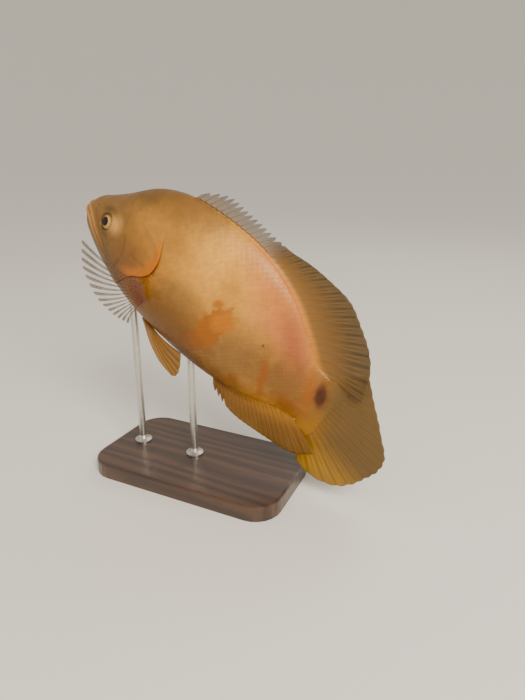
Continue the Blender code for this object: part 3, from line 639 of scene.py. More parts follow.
def eye_lift(points):
    """A soft roll round the eye, and inside it a socket that drops behind the eyeball."""
    centre = body(EYE_PLACE[0], side_angle(*EYE_PLACE))
    far = np.linalg.norm(points - centre, axis=-1) * LENGTH
    roll = ORBIT_ROLL * hump(far - EYE_OPENING - 0.0013, 0.0013)
    return roll - SOCKET_DEPTH * soft_step(SOCKET_RADIUS - far, 0.0, 0.0012)


def nostril_lift(points):
    """A pit with a low rim."""
    far = np.linalg.norm(points - body(NOSTRIL_PLACE[0], side_angle(*NOSTRIL_PLACE)), axis=-1) * LENGTH
    return 0.00025 * hump(far - 0.0013, 0.0006) - 0.0011 * soft_step(NOSTRIL_RADIUS - far, -0.0003, 0.0004)


def mouth(points):
    """Distance from the mouth line over the lip's width, below it negative, and how much lip there is.

    A point lies above the line if it is higher than the line is at the same distance sideways.
    """
    line = on_side(MOUTH, 41)
    above = points[..., 2] - np.interp(np.abs(points[..., 1]), np.abs(line[:, 1]), line[:, 2])
    over = np.sign(above) * distance_to_line(points, line) * LENGTH / LIP_WIDTH
    return over, 1 - 0.8 * soft_step(points[..., 0], 0.060, 0.172)


def lip_lift(points):
    """Two rolls, each half a sine wave to the power 0.8 across the lip's width, and a thin groove."""
    over, left = mouth(points)
    roll = np.sin(np.pi * np.clip(np.abs(over), 0, 1)) ** 0.8
    return left * LIP_HEIGHT * roll * (1 - 0.1 * np.sign(over)) - 0.0009 * hump(over, 0.10)


def crease_depth(points):
    """The deepest of the creases at each point, in metres, and how dark its painted shade is, 0 to 1."""
    depth, dark = np.zeros(points.shape[:-1]), np.zeros(points.shape[:-1])
    for places, deep, wide in CREASES:
        near = hump(distance_to_line(points, on_side(places)) * LENGTH, wide)
        depth = depth + deep * near
        dark = np.maximum(dark, near * max(deep, 0.0) / CREASE_SHADE)
    return depth, dark


# %% [markdown]
# ## The skin
#
# The skin is one grid from the nose to the root of the tail fin, so that no seam shows where the
# solids part. Rows are spread by angle over the rounded nose, by share up to the gill cover, then
# roll round its edge and run back along the trunk. The last rows shrink onto the tail fin's root.

# %% Make the skin
SIDES = 288
NOSE_ROWS, HEAD_ROWS, TRUNK_ROWS, ROOT_ROWS = 44, 168, 92, 16
# station past the edge and lift, in metres, of the rows that roll over the cover's rim and under it
RIM = ((0.00035, 0.80), (0.00048, 0.45), (0.00020, 0.10), (-0.00070, -0.10), (-0.00110, -0.30),
       (-0.00080, -0.42))
CAUDAL_LEAN = ((0.0, 50.0), (0.10, 32.0), (0.30, 12.0), (0.55, -3.0), (0.75, -18.0), (0.90, -35.0),
               (1.0, -53.0))
TAIL_ROOT = 0.080


def skin_rows():
    """Stations, angles and lifts of the skin's rows: nose, head, cover rim and trunk."""
    angle = np.arange(SIDES) * 2 * math.pi / SIDES
    angle = angle + 0.10 * np.sin(2 * angle)
    edge, open_cover = gill_edge(angle), cover_share(angle)
    turn = np.linspace(math.radians(3.5), math.pi / 2, NOSE_ROWS)
    stations = [np.full(SIDES, NOSE_ROUNDING * (1 - math.cos(t))) for t in turn]
    stations += [NOSE_ROUNDING + (edge - NOSE_ROUNDING) * share
                 for share in np.linspace(0, 1, HEAD_ROWS + 1)[1:]]
    lifts = [cover_lift(station, angle) for station in stations]
    for number, (past, lift) in enumerate(RIM):
        plain = 0.00025 * (number + 1)
        stations.append(edge + (open_cover * past + (1 - open_cover) * plain) / LENGTH)
        lifts.append(open_cover * lift * FLAP_HEIGHT)
    start, first_lift = stations[-1], lifts[-1]
    for share in np.linspace(0, 1, TRUNK_ROWS + 1)[1:]:
        station = start + (STATION[-1] - start) * share ** 1.12
        stations.append(station)
        lifts.append(first_lift * (1 - soft_step(station - start, 0.0, 0.008)))
    return np.array(stations), np.broadcast_to(angle, (len(stations), SIDES)), np.array(lifts)


def tail_root_rows(angle):
    """Rows that run on from the end of the stalk along the tail's fan, thinning to an edge."""
    share = np.linspace(0, 1, ROOT_ROWS + 1)[1:, None]
    end = body(STATION[-1], angle)
    centre, rise, drop = section(STATION[-1])[:3]
    up = (end[:, 2] - centre) / np.where(end[:, 2] > centre, rise, drop)
    lean = np.radians(along(CAUDAL_LEAN, (1 - up) / 2))
    reach = TAIL_ROOT * share
    thin = (1 - share) ** 1.4 + 0.0001 / LENGTH / HALF_WIDTH[-1]
    return np.stack([end[:, 0] + reach * np.cos(lean), end[:, 1] * np.minimum(thin, 1),
                     end[:, 2] + reach * np.sin(lean)], axis=-1)


def make_skin():
    """The skin: body points moved out by the sum of the features' heights, closed at both ends."""
    station, angle, lift = skin_rows()
    points = body(station, angle)
    folded = left_side(points)
    depth, dark = crease_depth(folded)
    over, lips = mouth(folded)
    on_head = station < gill_edge(angle) + 1e-9
    face = eye_lift(folded) + nostril_lift(folded) + lip_lift(folded) - depth
    lift = lift + np.where(on_head, face, 0.0)
    points = points + lift[..., None] / LENGTH * outward(station, angle)
    root = tail_root_rows(angle[0])
    tip = np.array([[0.0, 0.0, WIDEST[0]]])
    end = root[-1].mean(axis=0, keepdims=True)
    level = np.concatenate([points.reshape(-1, 3), root.reshape(-1, 3), tip, end])
    rows = len(station) + ROOT_ROWS
    faces = grid_faces(rows, SIDES, wrap=True).tolist()
    first, last = rows * SIDES, (rows - 1) * SIDES
    after = np.roll(np.arange(SIDES), -1)
    faces += [(first, int(b), a) for a, b in enumerate(after)]
    faces += [(first + 1, last + a, last + int(b)) for a, b in enumerate(after)]
    extra = ROOT_ROWS * SIDES + 2
    lip = lips * soft_step(1.05 - np.abs(over), 0.0, 0.35)
    # painted shade: darker colour in the creases, the mouth's groove, the eye socket and the gill slit
    painted_shade = np.maximum(np.where(on_head, dark, 0.0), lips * hump(over, 0.10))
    socket = np.linalg.norm(folded - body(EYE_PLACE[0], side_angle(*EYE_PLACE)), axis=-1) * LENGTH
    painted_shade = np.maximum(painted_shade, 0.6 * soft_step(SOCKET_RADIUS - socket, -0.0004, 0.0004))
    low = 1 - soft_step(points[..., 2], 0.030, 0.075)
    slit = (~on_head) * cover_share(angle) * low * (1 - soft_step(station - gill_edge(angle), 0.0, 0.006))
    painted_shade = np.maximum(painted_shade, slit)
    attributes = {
        "place": level,
        "past_gill": np.concatenate([(station - gill_edge(angle)).ravel(), np.ones(extra)]),
        "lip": np.concatenate([lip.ravel(), np.zeros(extra)]),
        "crease": np.concatenate([painted_shade.ravel(), np.zeros(extra)]),
    }
    return make_piece("skin", placed(level), faces, SKIN, ("head", "trunk", "tail_stalk"), attributes)


make_skin()

# %% [markdown]
# ## The scales
#
# Scales grow in rows along the body, each row set half a step from its neighbours, like tiles on a
# roof with their free edges to the rear. A lattice is laid out by real distance along the body and
# round it from the mid-line, so that the rows keep their size and run out at the back and belly, as
# on a real fish. Each plate is a small bent grid that starts under its neighbours and ends in a
# rounded edge. All plates of a side are one mesh, which a renderer handles far better than thousands
# of objects.

# %% Lay out the scales
SCALE_STEP = ((0.20, 0.0040), (0.45, 0.0046), (0.75, 0.0042), (1.0, 0.0030))
ROW_STEP = ((0.20, 0.0022), (0.45, 0.0026), (0.75, 0.0023), (1.0, 0.0015))
SCALE_RISE = 0.00013
FIRST_STATION, ROWS_FROM_MIDDLE = 0.165, 36
PLATE_ROWS = (0.0, 0.35, 0.68, 0.90, 1.0)
PLATE_COLUMNS = np.linspace(-1, 1, 7)


def girth_table():
    """For a left side cut into stations: the distance from mid-side, up and down, against the angle."""
    stations = np.linspace(0.16, 1.0, 169)
    angles = np.linspace(math.pi / 2, 3 * math.pi / 2, 241)
    grid = body(*np.meshgrid(stations, angles, indexing="ij"))
    pieces = np.linalg.norm(np.diff(grid, axis=1), axis=-1) * LENGTH
    girth = np.concatenate([np.zeros((len(stations), 1)), np.cumsum(pieces, axis=1)], axis=1)
    middle = girth[:, [len(angles) // 2]]
    return stations, angles, middle - girth


STATIONS, ANGLES, GIRTH = girth_table()
EVEN = np.linspace(-1, 1, 161)
REACH_UP, REACH_DOWN = GIRTH[:, 0], -GIRTH[:, -1]


def even_angles():
    """The angle at evenly spread shares of the distance from mid-side to back or belly, per station."""
    table = []
    for girth, up, down in zip(GIRTH, REACH_UP, REACH_DOWN):
        table.append(np.interp(EVEN, (girth / np.where(girth > 0, up, down))[::-1], ANGLES[::-1]))
    return np.array(table)


ANGLE_AT = even_angles()


def reach_at(station, girth):
    """The distance from mid-side to the back where girth is above it, and to the belly elsewhere."""
    up = np.interp(station, STATIONS, REACH_UP)
    down = np.interp(station, STATIONS, REACH_DOWN)
    return np.where(girth > 0, up, down)


def angle_at(station, girth):
    """The angle at a distance in metres above (+) or below (-) mid-side, between the table's entries."""
    share = np.clip(girth / reach_at(station, girth), -1, 1)
    row = np.clip((station - STATIONS[0]) / (STATIONS[1] - STATIONS[0]), 0, len(STATIONS) - 1.001)
    column = np.clip((share + 1) / 2 * (len(EVEN) - 1), 0, len(EVEN) - 1.001)
    i, j = row.astype(int), column.astype(int)
    a, b = row - i, column - j
    low = ANGLE_AT[i, j] * (1 - b) + ANGLE_AT[i, j + 1] * b
    high = ANGLE_AT[i + 1, j] * (1 - b) + ANGLE_AT[i + 1, j + 1] * b
    return low * (1 - a) + high * a


def lattice():
    """Roots of all plates of one side: a station and a distance from mid-side, rows staggered."""
    stations = [FIRST_STATION]
    while stations[-1] < 1.0:
        stations.append(stations[-1] + along(SCALE_STEP, stations[-1]) / LENGTH / 2)
    stations = np.array(stations)
    rows = np.arange(-ROWS_FROM_MIDDLE, ROWS_FROM_MIDDLE + 1)
    column, row = np.meshgrid(np.arange(len(stations)), rows, indexing="ij")
    keep = (column + row) % 2 == 0
    column, row = column[keep], row[keep]
    station = stations[column]
    girth = row * along(ROW_STEP, station)
    return station, girth, row


def make_scales(name, side, seed):
    """All plates of one side, side -1 being the left.

    On a plate, u runs from root to free edge and v across. The free edge is a parabola in v, the
    plate rises with u and is crowned across, and its last row drops back to the skin.
    """
    rng = np.random.default_rng(seed)
    station, girth, row = lattice()
    step, rise = along(SCALE_STEP, station) / LENGTH, along(ROW_STEP, station)
    station = station + rng.normal(0, 0.02, station.shape) * step
    girth = girth + rng.normal(0, 0.03, station.shape) * rise
    angle = angle_at(station, girth)
    limit = reach_at(station, girth)
    start = gill_edge(angle) + 0.0012 / LENGTH
    keep = (np.abs(girth) < limit - 0.0014) & (station > start) & (station < 0.995)
    base = on_side(((0.352, -0.035), (0.372, -0.060), (0.388, -0.088)))
    keep &= distance_to_line(body(station, angle), base) * LENGTH > 0.0042
    station, girth, step, rise, row = (values[keep] for values in (station, girth, step, rise, row))
    tint = rng.random(len(station))
    u, v = np.meshgrid(PLATE_ROWS, PLATE_COLUMNS, indexing="ij")
    reach = u * (1 - 0.42 * v ** 2) * 1.12 - 0.10
    spot = station[:, None, None] + step[:, None, None] * reach
    spread = girth[:, None, None] + rise[:, None, None] * 0.98 * v * (0.85 + 0.15 * u)
    turned = angle_at(np.clip(spot, STATIONS[0], 1.0), spread)
    edge = np.where(u >= 1.0, -0.2, u)
    lift = SCALE_RISE * (edge * (0.75 + 0.25 * (1 - v ** 2))) - 0.00003
    lift = lift + (row == 2)[:, None, None] * 0.00012 * hump(v, 0.22) * (u < 0.95)
    away = outward(np.minimum(spot, 0.9999), turned)
    level = body(np.minimum(spot, 1.0), turned) + lift[..., None] / LENGTH * away
    if side > 0:
        level = level * np.array([1, -1, 1])
    count, size = len(station), u.size
    quads = grid_faces(len(PLATE_ROWS), len(PLATE_COLUMNS))
    if side < 0:
        quads = quads[:, ::-1]
    faces = (quads[None] + (np.arange(count) * size)[:, None, None]).reshape(-1, 4)
    own = np.stack(np.broadcast_arrays(u, v, tint[:, None, None]), axis=-1)
    piece = make_piece(name, placed(level), faces.tolist(), SCALE, (),
                       {"place": level, "on_scale": own})
    share = np.stack([(station - 0.16) / 0.86, 0.5 + 0.49 * girth / limit[keep]], axis=-1)
    patches = share[:, None, None] + 0.003 * np.stack([u, (v + 1) / 2], axis=-1)
    corners = patches.reshape(-1, 2)[faces.ravel()]
    piece.data.uv_layers.new(name="OFBake").data.foreach_set("uv", corners.astype(np.float32).ravel())
    print(name, "has", count, "plates")
    return piece


make_scales("scales_left", -1, 11)
make_scales("scales_right", 1, 12)

# %% [markdown]
# ## The fins' finish
#
# A fin is a skin stretched over rays of stiff bone, each ray forked towards its tip. The membrane
# lets light through, more so towards the edge. The material reads two attributes of the mesh: how
# far out along the ray a point is, and how close to a ray. So the colour and the see-through both
# follow the fin, however it is spread.

# %% Fin materials


def build_fin_group():
    """Colour from root to tip and from membrane to ray, with painted shade over the fin's upper part, and how
    solid it is.
    """
    group, given, out = new_group(
        "fin_web",
        [("Place", "Vector", None), ("Out", "Float", 0.0), ("Ray", "Float", 0.0),
         ("Inner", "Color", None), ("Outer", "Color", None), ("Ray Colour", "Color", None),
         ("Flesh", "Float", 0.2), ("Solid Root", "Float", 1.0), ("Solid Tip", "Float", 0.6),
         ("Thin By", "Float", 1.0), ("Upper Shade", "Float", 0.0), ("Clear Front", "Float", 0.0)],
        [("Colour", "Color"), ("Alpha", "Float")])
    out_share, ray = given.outputs["Out"], given.outputs["Ray"]
    web = mixed(group, between(group, out_share, 0.10, 0.95), given.outputs["Inner"], given.outputs["Outer"])
    web = mixed(group, times(group, ray, 0.75), web, given.outputs["Ray Colour"])
    flesh_end = times(group, given.outputs["Flesh"], 2.0)
    flesh = between(group, out_share, flesh_end, 0.0)
    skin_colour = use_group(group, MARKINGS, {"Place": given.outputs["Place"]}).outputs[0]
    cloud = noise_value(group, given.outputs["Place"], 26.0, 3.0)
    web = mixed(group, times(group, between(group, cloud, 0.35, 0.75), 0.25), web, paint(120, 88, 52))
    spot = add_node(group, "SeparateXYZ", {0: given.outputs["Place"]})
    # painted shade: with an Upper Shade, the upper part of the fin is darkened towards a grey tan
    upper = times(group, between(group, spot.outputs["Z"], -0.18, -0.04), given.outputs["Upper Shade"])
    web = mixed(group, upper, web, paint(88, 68, 40))
    colour = mixed(group, flesh, web, skin_colour)
    thin = add_node(group, "MapRange", {
        "Value": out_share, "From Min": 0.08, "From Max": given.outputs["Thin By"],
        "To Min": given.outputs["Solid Root"], "To Max": given.outputs["Solid Tip"]}).outputs[0]
    clear = times(group, between(group, spot.outputs["X"], 0.68, 0.56), given.outputs["Clear Front"])
    thin = times(group, thin, maths(group, "SUBTRACT", 1.0, clear))
    line = times(group, ray, maths(group, "SUBTRACT", 0.95, times(group, out_share, 0.3)))
    solid = maths(group, "MAXIMUM", maths(group, "MAXIMUM", thin, flesh), line)
    for label, value in (("Colour", colour), ("Alpha", solid)):
        group.links.new(value, out.inputs[label])
    return group


FIN_WEB = build_fin_group()


def fin_material(name, inner, outer, ray, flesh, solid_root, solid_tip,
                 thin_by=1.0, shade=0.0, clear_front=0.0):
    """A fin's material: the shared web group with this fin's colours and clearness."""
    material, tree, shader = new_material(name)
    web = use_group(tree, FIN_WEB, {
        "Place": attribute(tree, "place"), "Out": attribute(tree, "out", "Fac"),
        "Ray": attribute(tree, "ray", "Fac"),
        "Inner": paint(*inner), "Outer": paint(*outer), "Ray Colour": paint(*ray),
        "Flesh": flesh, "Solid Root": solid_root, "Solid Tip": solid_tip,
        "Thin By": thin_by, "Upper Shade": shade, "Clear Front": clear_front})
    tree.links.new(web.outputs["Colour"], shader.inputs["Base Color"])
    tree.links.new(web.outputs["Alpha"], shader.inputs["Alpha"])
    varnish(shader, 0.45, 0.10)
    return material


# %% [markdown]
# ## Fins on the midline
#
# The back, anal and tail fins stand in the body's own plane. A ray is a straight line from its root
# on the ridge, at a lean of its own, and a table of a few lengths gives the outline. Across each ray
# the thickness has a ridge, which forks twice. Between rays the edge is cut in a little. The root is
# thick and flares into the body.

# %% Grids of the midline fins
FAN_COLUMNS, FIN_ROWS = 12, 44
MEMBRANE, RAY_RIDGE, TIP_HALF = 0.00044, 0.00034, 0.00012
DORSAL_SPINES, DORSAL_RAYS = 13, 20
DORSAL_BASE = (0.318, 0.966)
DORSAL_LENGTH = ((0.0, 0.035), (0.06, 0.070), (0.20, 0.070), (0.40, 0.062), (0.47, 0.068), (0.54, 0.095),
                 (0.62, 0.127), (0.70, 0.158), (0.78, 0.170), (0.86, 0.180), (0.94, 0.175), (1.0, 0.148))
DORSAL_LEAN = ((0.0, 62.0), (0.20, 57.0), (0.50, 52.0), (0.62, 46.0), (0.78, 41.0), (0.92, 30.0),
               (1.0, 12.0))
DORSAL_SWAY = ((0.0, 0.0), (0.35, 0.004), (0.60, 0.010), (0.80, -0.006), (1.0, -0.030))
ANAL_SPINES, ANAL_RAYS = 3, 16
ANAL_BASE = (0.700, 0.966)
ANAL_LENGTH = ((0.0, 0.042), (0.17, 0.080), (0.42, 0.112), (0.68, 0.140), (0.86, 0.157), (1.0, 0.160))
ANAL_LEAN = ((0.0, 56.0), (0.17, 51.0), (0.42, 45.0), (0.68, 41.0), (0.86, 32.0), (1.0, 15.0))
ANAL_SWAY = ((0.0, 0.0), (0.35, -0.006), (0.65, 0.002), (1.0, -0.028))
CAUDAL_RAYS = 17
CAUDAL_SWAY = ((0.0, 0.016), (0.30, -0.006), (0.55, -0.010), (0.80, 0.004), (1.0, 0.016))
CAUDAL_LENGTH = ((0.0, 0.115), (0.12, 0.150), (0.30, 0.222), (0.45, 0.288), (0.55, 0.300), (0.65, 0.296),
                 (0.75, 0.292), (0.85, 0.272), (0.93, 0.228), (1.0, 0.165))


def fan(count):
    """Columns across a fan of rays: their share of the fan, and their place between two valleys."""
    share = np.linspace(0, 1, count * FAN_COLUMNS + 1)
    return share, (share * count) % 1.0


def ray_ridge(within, out, spiny, thick=0.10):
    """1 on a ray and 0 between rays, thick being a ray's width at its root as a share of its spacing.

    A soft ray is one line to two fifths of the way out, then two, and four past three quarters;
    a spine stays one line.
    """
    first = 0.20 * soft_step(out, 0.30, 0.62) * (1 - spiny)
    second = 0.095 * soft_step(out, 0.62, 0.90) * (1 - spiny)
    width = thick * (1 - 0.60 * out) + 0.02
    ridge = 0
    for side in (-1, 1):
        for again in (-1, 1):
            ridge = np.maximum(ridge, hump(within - 0.5 - side * first - again * second, width))
    return ridge


def valley(within):
    """0 on a ray, rising to 1 half way to the next: how far a fin's edge is cut in."""
    return (np.abs(within - 0.5) * 2) ** 1.5


def vane_half(out, ridge, flesh, root_half, power):
    """Half the thickness: the membrane's, plus the ray's ridge, plus a fleshy root that fades out."""
    open_out = np.clip(out, 0, 1)
    fade = np.clip(1 - open_out / (2 * flesh), 0, 1) ** power
    half = MEMBRANE / 2 + RAY_RIDGE * ridge * (1 - 0.6 * open_out) + root_half * fade
    return np.where(out >= 1, TIP_HALF, half)


def vane(name, middle, half, out, ridge, material, node):
    """Two sheets half a thickness either side of a middle grid, closed along the rim."""
    world = placed(middle)
    across = np.cross(np.gradient(world, axis=0), np.gradient(world, axis=1))
    across /= np.maximum(np.linalg.norm(across, axis=-1, keepdims=True), 1e-12)
    offset = across * half[..., None]
    rows, columns = half.shape
    sheet = grid_faces(rows, columns)
    number = np.arange(rows * columns).reshape(rows, columns)
    rim = np.concatenate([number[0], number[1:, -1], number[-1, -2::-1], number[-2:0:-1, 0]])
    after, other = np.roll(rim, -1), rows * columns
    edge = np.stack([rim, rim + other, after + other, after], 1)
    faces = np.concatenate([sheet, sheet[:, ::-1] + other, edge]).tolist()
    points = np.concatenate([(world + offset).reshape(-1, 3), (world - offset).reshape(-1, 3)])
    attributes = {"place": np.tile(middle.reshape(-1, 3), (2, 1)), "out": np.tile(out.ravel(), 2),
                  "ray": np.tile(ridge.ravel(), 2)}
    return make_piece(name, points, faces, material, (node,), attributes)


def spread_fin(name, node, within, root, direction, length, spiny, sway, flesh, root_half, material):
    """A fin of the midline. Its points are root plus out times length along each column's direction."""
    out = np.linspace(-0.09, 1, FIN_ROWS)[:, None]
    open_out = np.clip(out, 0, 1)
    ridge = ray_ridge(within[None], open_out, spiny[None])
    notch = (0.36 * spiny + 0.014) * valley(within)
    reach = out * (length * (1 - notch))[None]
    middle = root[None] + reach[..., None] * direction[None]
    middle[..., 1] += sway * open_out ** 1.4
    half = vane_half(out, ridge, flesh, root_half, 2.2)
    return vane(name, middle, half, open_out + 0 * ridge, ridge, material, node)


def ridge_fin(name, node, base, spines, rays, lengths, leans, up, sway, flesh, root_half, material):
    """A fin along the back (up 1) or the belly (up -1), its last rays set close to the tail fin."""
    count = spines + rays
    share, within = fan(count)
    run_on = 0.026 * soft_step(share, 0.90, 1.0)
    station = base[0] + (base[1] - base[0]) * share + run_on
    root = body(station, up * math.pi / 2) * np.array([1, 0, 1])
    lean = np.radians(along(leans, share))
    direction = np.stack([np.cos(lean), 0 * lean, up * np.sin(lean)], axis=-1)
    spiny = 1 - soft_step(share, spines / count - 0.02, spines / count + 0.06)
    root_half = root_half * (1 - 0.7 * soft_step(share, 0.78, 0.97))
    return spread_fin(name, node, within, root, direction, along(lengths, share) - run_on, spiny,
                      along(sway, share), flesh, root_half, material)


def tail_fan(name, node, flesh, root_half, material):
    """The tail fin: rays fan out from the end of the stalk."""
    share, within = fan(CAUDAL_RAYS)
    centre, rise, drop = section(STATION[-1])[:3]
    spread = 1 - 2 * share
    root = np.stack([np.full_like(share, 0.998), 0 * share,
                     centre + 0.97 * spread * np.where(spread > 0, rise, drop)], axis=-1)
    lean = np.radians(along(CAUDAL_LEAN, share))
    direction = np.stack([np.cos(lean), 0 * lean, np.sin(lean)], axis=-1)
    return spread_fin(name, node, within, root, direction, along(CAUDAL_LENGTH, share), 0 * share,
                      along(CAUDAL_SWAY, share), flesh, root_half, material)


BACK_WEB = fin_material("back_web", (132, 92, 42), (66, 52, 26), (118, 90, 50), 0.07, 0.97, 0.84,
                        clear_front=0.55)
ANAL_WEB = fin_material("anal_web", (124, 80, 24), (98, 64, 8), (130, 90, 28), 0.24, 0.97, 0.92)
TAIL_WEB = fin_material("tail_web", (178, 122, 4), (138, 102, 14), (184, 134, 36), 0.26, 0.97, 0.90,
                        shade=0.85)
ridge_fin("dorsal_web", "dorsal_fin", DORSAL_BASE, DORSAL_SPINES, DORSAL_RAYS, DORSAL_LENGTH, DORSAL_LEAN,
          1, DORSAL_SWAY, 0.16, 0.0022, BACK_WEB)
ridge_fin("anal_web", "anal_fin", ANAL_BASE, ANAL_SPINES, ANAL_RAYS, ANAL_LENGTH, ANAL_LEAN,
          -1, ANAL_SWAY, 0.12, 0.0014, ANAL_WEB)
tail_fan("tail_web", "caudal_fin", 0.08, 0.0002, TAIL_WEB)

# %% [markdown]
# ## Paired fins
#
# The breast fins beat all the time, so the photographed pose has them spread forward, their clear
# membranes nearly lost and the fine rays showing. The belly fins hang back as tan leaves. Each starts
# from a short line on the skin, leaves it along the outward direction, and bends to the places where
# its rays end.

# %% Breast and belly fins
PECTORAL_RAYS = 14
PECTORAL_BASE = ((0.362, -0.042), (0.388, -0.084))
PECTORAL_TIPS = ((-0.200, -0.105, 0.040), (-0.130, -0.150, 0.005), (-0.055, -0.150, -0.030),
                 (0.000, -0.125, -0.045), (0.030, -0.075, -0.060))
PELVIC_RAYS = 6
PELVIC_BASE = ((0.385, -0.186), (0.408, -0.197))
PELVIC_TIPS = ((0.150, -0.034, -0.064), (0.206, -0.038, -0.067), (0.216, -0.040, -0.046),
               (0.200, -0.042, -0.010), (0.172, -0.046, 0.032))


def paired_fin(name, node, base, tips, count, bow, flesh, root_half, thick, notch, side, material):
    """Middle = root + out times reach + bow times sin(pi out) along the skin's outward direction."""
    share, within = fan(count)
    out = np.linspace(-0.03, 1, FIN_ROWS)[:, None]
    open_out = np.clip(out, 0, 1)
    ends = np.array(base)
    station, height = (ends[0] + (ends[1] - ends[0]) * share[:, None]).T
    angle = side_angle(station, height)
    root, away = body(station, angle), outward(station, angle)
    knots = np.linspace(0, 1, len(tips))
    reach = np.stack([through(knots, [tip[axis] for tip in tips], share) for axis in range(3)], axis=-1)
    reach = reach * (1 - notch * valley(within))[:, None]
    bowed = bow * np.sin(np.pi * open_out) + np.minimum(out, 0)
    middle = root + out[..., None] * reach + bowed[..., None] * away
    middle = middle * np.array([1, -side, 1])
    ridge = ray_ridge(within[None], open_out, 0.4 + 0 * share[None], thick)
    half = vane_half(out, ridge, flesh, root_half, 1.6)
    return vane(name, middle, half, open_out + 0 * ridge, ridge, material, node)


BREAST_WEB = fin_material("breast_web", (106, 62, 46), (80, 64, 36), (80, 64, 36), 0.03, 0.96, 0.04,
                          thin_by=0.30)
BELLY_WEB = fin_material("belly_web", (124, 80, 24), (116, 78, 22), (156, 114, 56), 0.06, 0.97, 0.92)
for word, side in (("left", -1), ("right", 1)):
    paired_fin(f"pectoral_web_{word}", f"pectoral_fin_{word}", PECTORAL_BASE, PECTORAL_TIPS, PECTORAL_RAYS,
               0.020, 0.10, 0.0012, 0.09, 0.06, -side, BREAST_WEB)
    paired_fin(f"pelvic_web_{word}", f"pelvic_fin_{word}", PELVIC_BASE, PELVIC_TIPS, PELVIC_RAYS,
               0.008, 0.16, 0.0013, 0.09, 0.015, -side, BELLY_WEB)

# %% [markdown]
# ## The eyes
#
# A fish's eye is a ball with no lids. The iris is a gilded ring round a pupil that stands a little
# forward, all under a moist, clear dome. The dome could be a second, clear surface. Here each eye is
# one turned surface, painted by the distance from its axis, and a clear coat in its shader gives the
# bright reflection of the dome.

# %% Eyeballs
PUPIL_SHARE = 0.46
EYE_SIDES = 64


def eye_frame(side):
    """The eye's place on the skin and three directions: out of the skin, to the rear, and up."""
    angle = side_angle(*EYE_PLACE)
    mirror = np.array([1, -side, 1])
    centre, out = body(EYE_PLACE[0], angle) * mirror, outward(EYE_PLACE[0], angle) * mirror
    origin = placed(centre)
    out = placed(centre + out) - origin
    out /= np.linalg.norm(out)
    rear = placed(centre + np.array([1.0, 0, 0])) - origin
    rear -= out * (rear @ out)
    rear /= np.linalg.norm(rear)
    return origin, out, rear, np.cross(out, rear) * (-side)


def turned_cap(name, side, profile, material, node):
    """A surface turned about the eye's axis from a profile of (radius, height) pairs, centre first."""
    origin, out, rear, up = eye_frame(side)
    turn = np.linspace(0, 2 * np.pi, EYE_SIDES, endpoint=False)
    radius, height = np.array(profile).T
    ring = np.cos(turn)[:, None] * rear + np.sin(turn)[:, None] * up
    points = origin + radius[:, None, None] * ring[None] + height[:, None, None] * out
    rows = len(radius)
    middle = origin + height[0] * out
    quads = grid_faces(rows, EYE_SIDES, wrap=True)
    fans = [(rows * EYE_SIDES, (a + 1) % EYE_SIDES, a) for a in range(EYE_SIDES)]
    faces = quads[:, ::-1].tolist() + [face[::-1] for face in fans]
    if side > 0:
        faces = [tuple(face)[::-1] for face in faces]
    level = np.stack(np.broadcast_arrays(radius[:, None] * np.cos(turn), radius[:, None] * np.sin(turn),
                                         height[:, None] + 0 * turn), axis=-1)
    level = np.concatenate([level.reshape(-1, 3), [[0.0, 0.0, height[0]]]]) / EYE_RADIUS
    return make_piece(name, np.concatenate([points.reshape(-1, 3), middle[None]]), faces, material,
                      (node,), {"in_eye": level})


def iris_material():
    """A maroon pupil in a gold line; the iris is cream behind, brown ahead and olive above and below.

    A clear coat over the colours stands for the moist dome.
    """
    material, tree, shader = new_material("moist_eye")
    spot = attribute(tree, "in_eye")
    split = add_node(tree, "SeparateXYZ", {0: spot})
    flat = vector_maths(tree, "MULTIPLY", spot, (1.0, 1.0, 0.0))
    far = vector_maths(tree, "LENGTH", flat, output="Value")
    noise = noise_value(tree, spot, 7.0, 4.0)
    colour = mixed(tree, between(tree, noise, 0.35, 0.70), paint(176, 144, 84), paint(138, 106, 54))
    front = between(tree, split.outputs["X"], 0.20, -0.35)
    colour = mixed(tree, times(tree, front, 0.90), colour, paint(104, 56, 18))
    tall = maths(tree, "ABSOLUTE", maths(tree, "SUBTRACT", split.outputs["Y"], 0.06))
    colour = mixed(tree, times(tree, between(tree, tall, 0.42, 0.78), 0.85), colour, paint(74, 56, 20))
    colour = mixed(tree, times(tree, between(tree, far, 0.66, 0.84), 0.85), colour, paint(100, 70, 28))
    line = times(tree, between(tree, far, 0.45, 0.49), between(tree, far, 0.60, 0.51))
    colour = mixed(tree, times(tree, line, 0.75), colour, paint(190, 156, 92))
    colour = mixed(tree, between(tree, far, PUPIL_SHARE + 0.02, PUPIL_SHARE - 0.02), colour, paint(30, 8, 6))
    tree.links.new(colour, shader.inputs["Base Color"])
    add_bump(tree, shader, noise, 0.15, 0.0002)
    shader.inputs["Roughness"].default_value = 0.45
    shader.inputs["Specular IOR Level"].default_value = 0.10
    shader.inputs["Coat Weight"].default_value = 0.30
    shader.inputs["Coat Roughness"].default_value = 0.04
    return material


def eye_profile(share_out, push):
    """The eyeball's front: an ellipse's height at shares of its radius, moved by push metres."""
    share = np.asarray(share_out)
    return np.stack([EYE_RADIUS * share,
                     EYE_DEPTH * np.sqrt(1 - share ** 2) - (EYE_DEPTH - EYE_PROUD) + push], axis=1)


EYEBALL = iris_material()
shares = np.linspace(0.03, 0.985, 40)
lens = 0.00035 * (1 - soft_step(shares, PUPIL_SHARE - 0.04, PUPIL_SHARE + 0.10)) - 0.0006
for word, side in (("left", -1), ("right", 1)):
    turned_cap(f"eyeball_{word}", side, eye_profile(shares, lens), EYEBALL, f"eye_{word}")

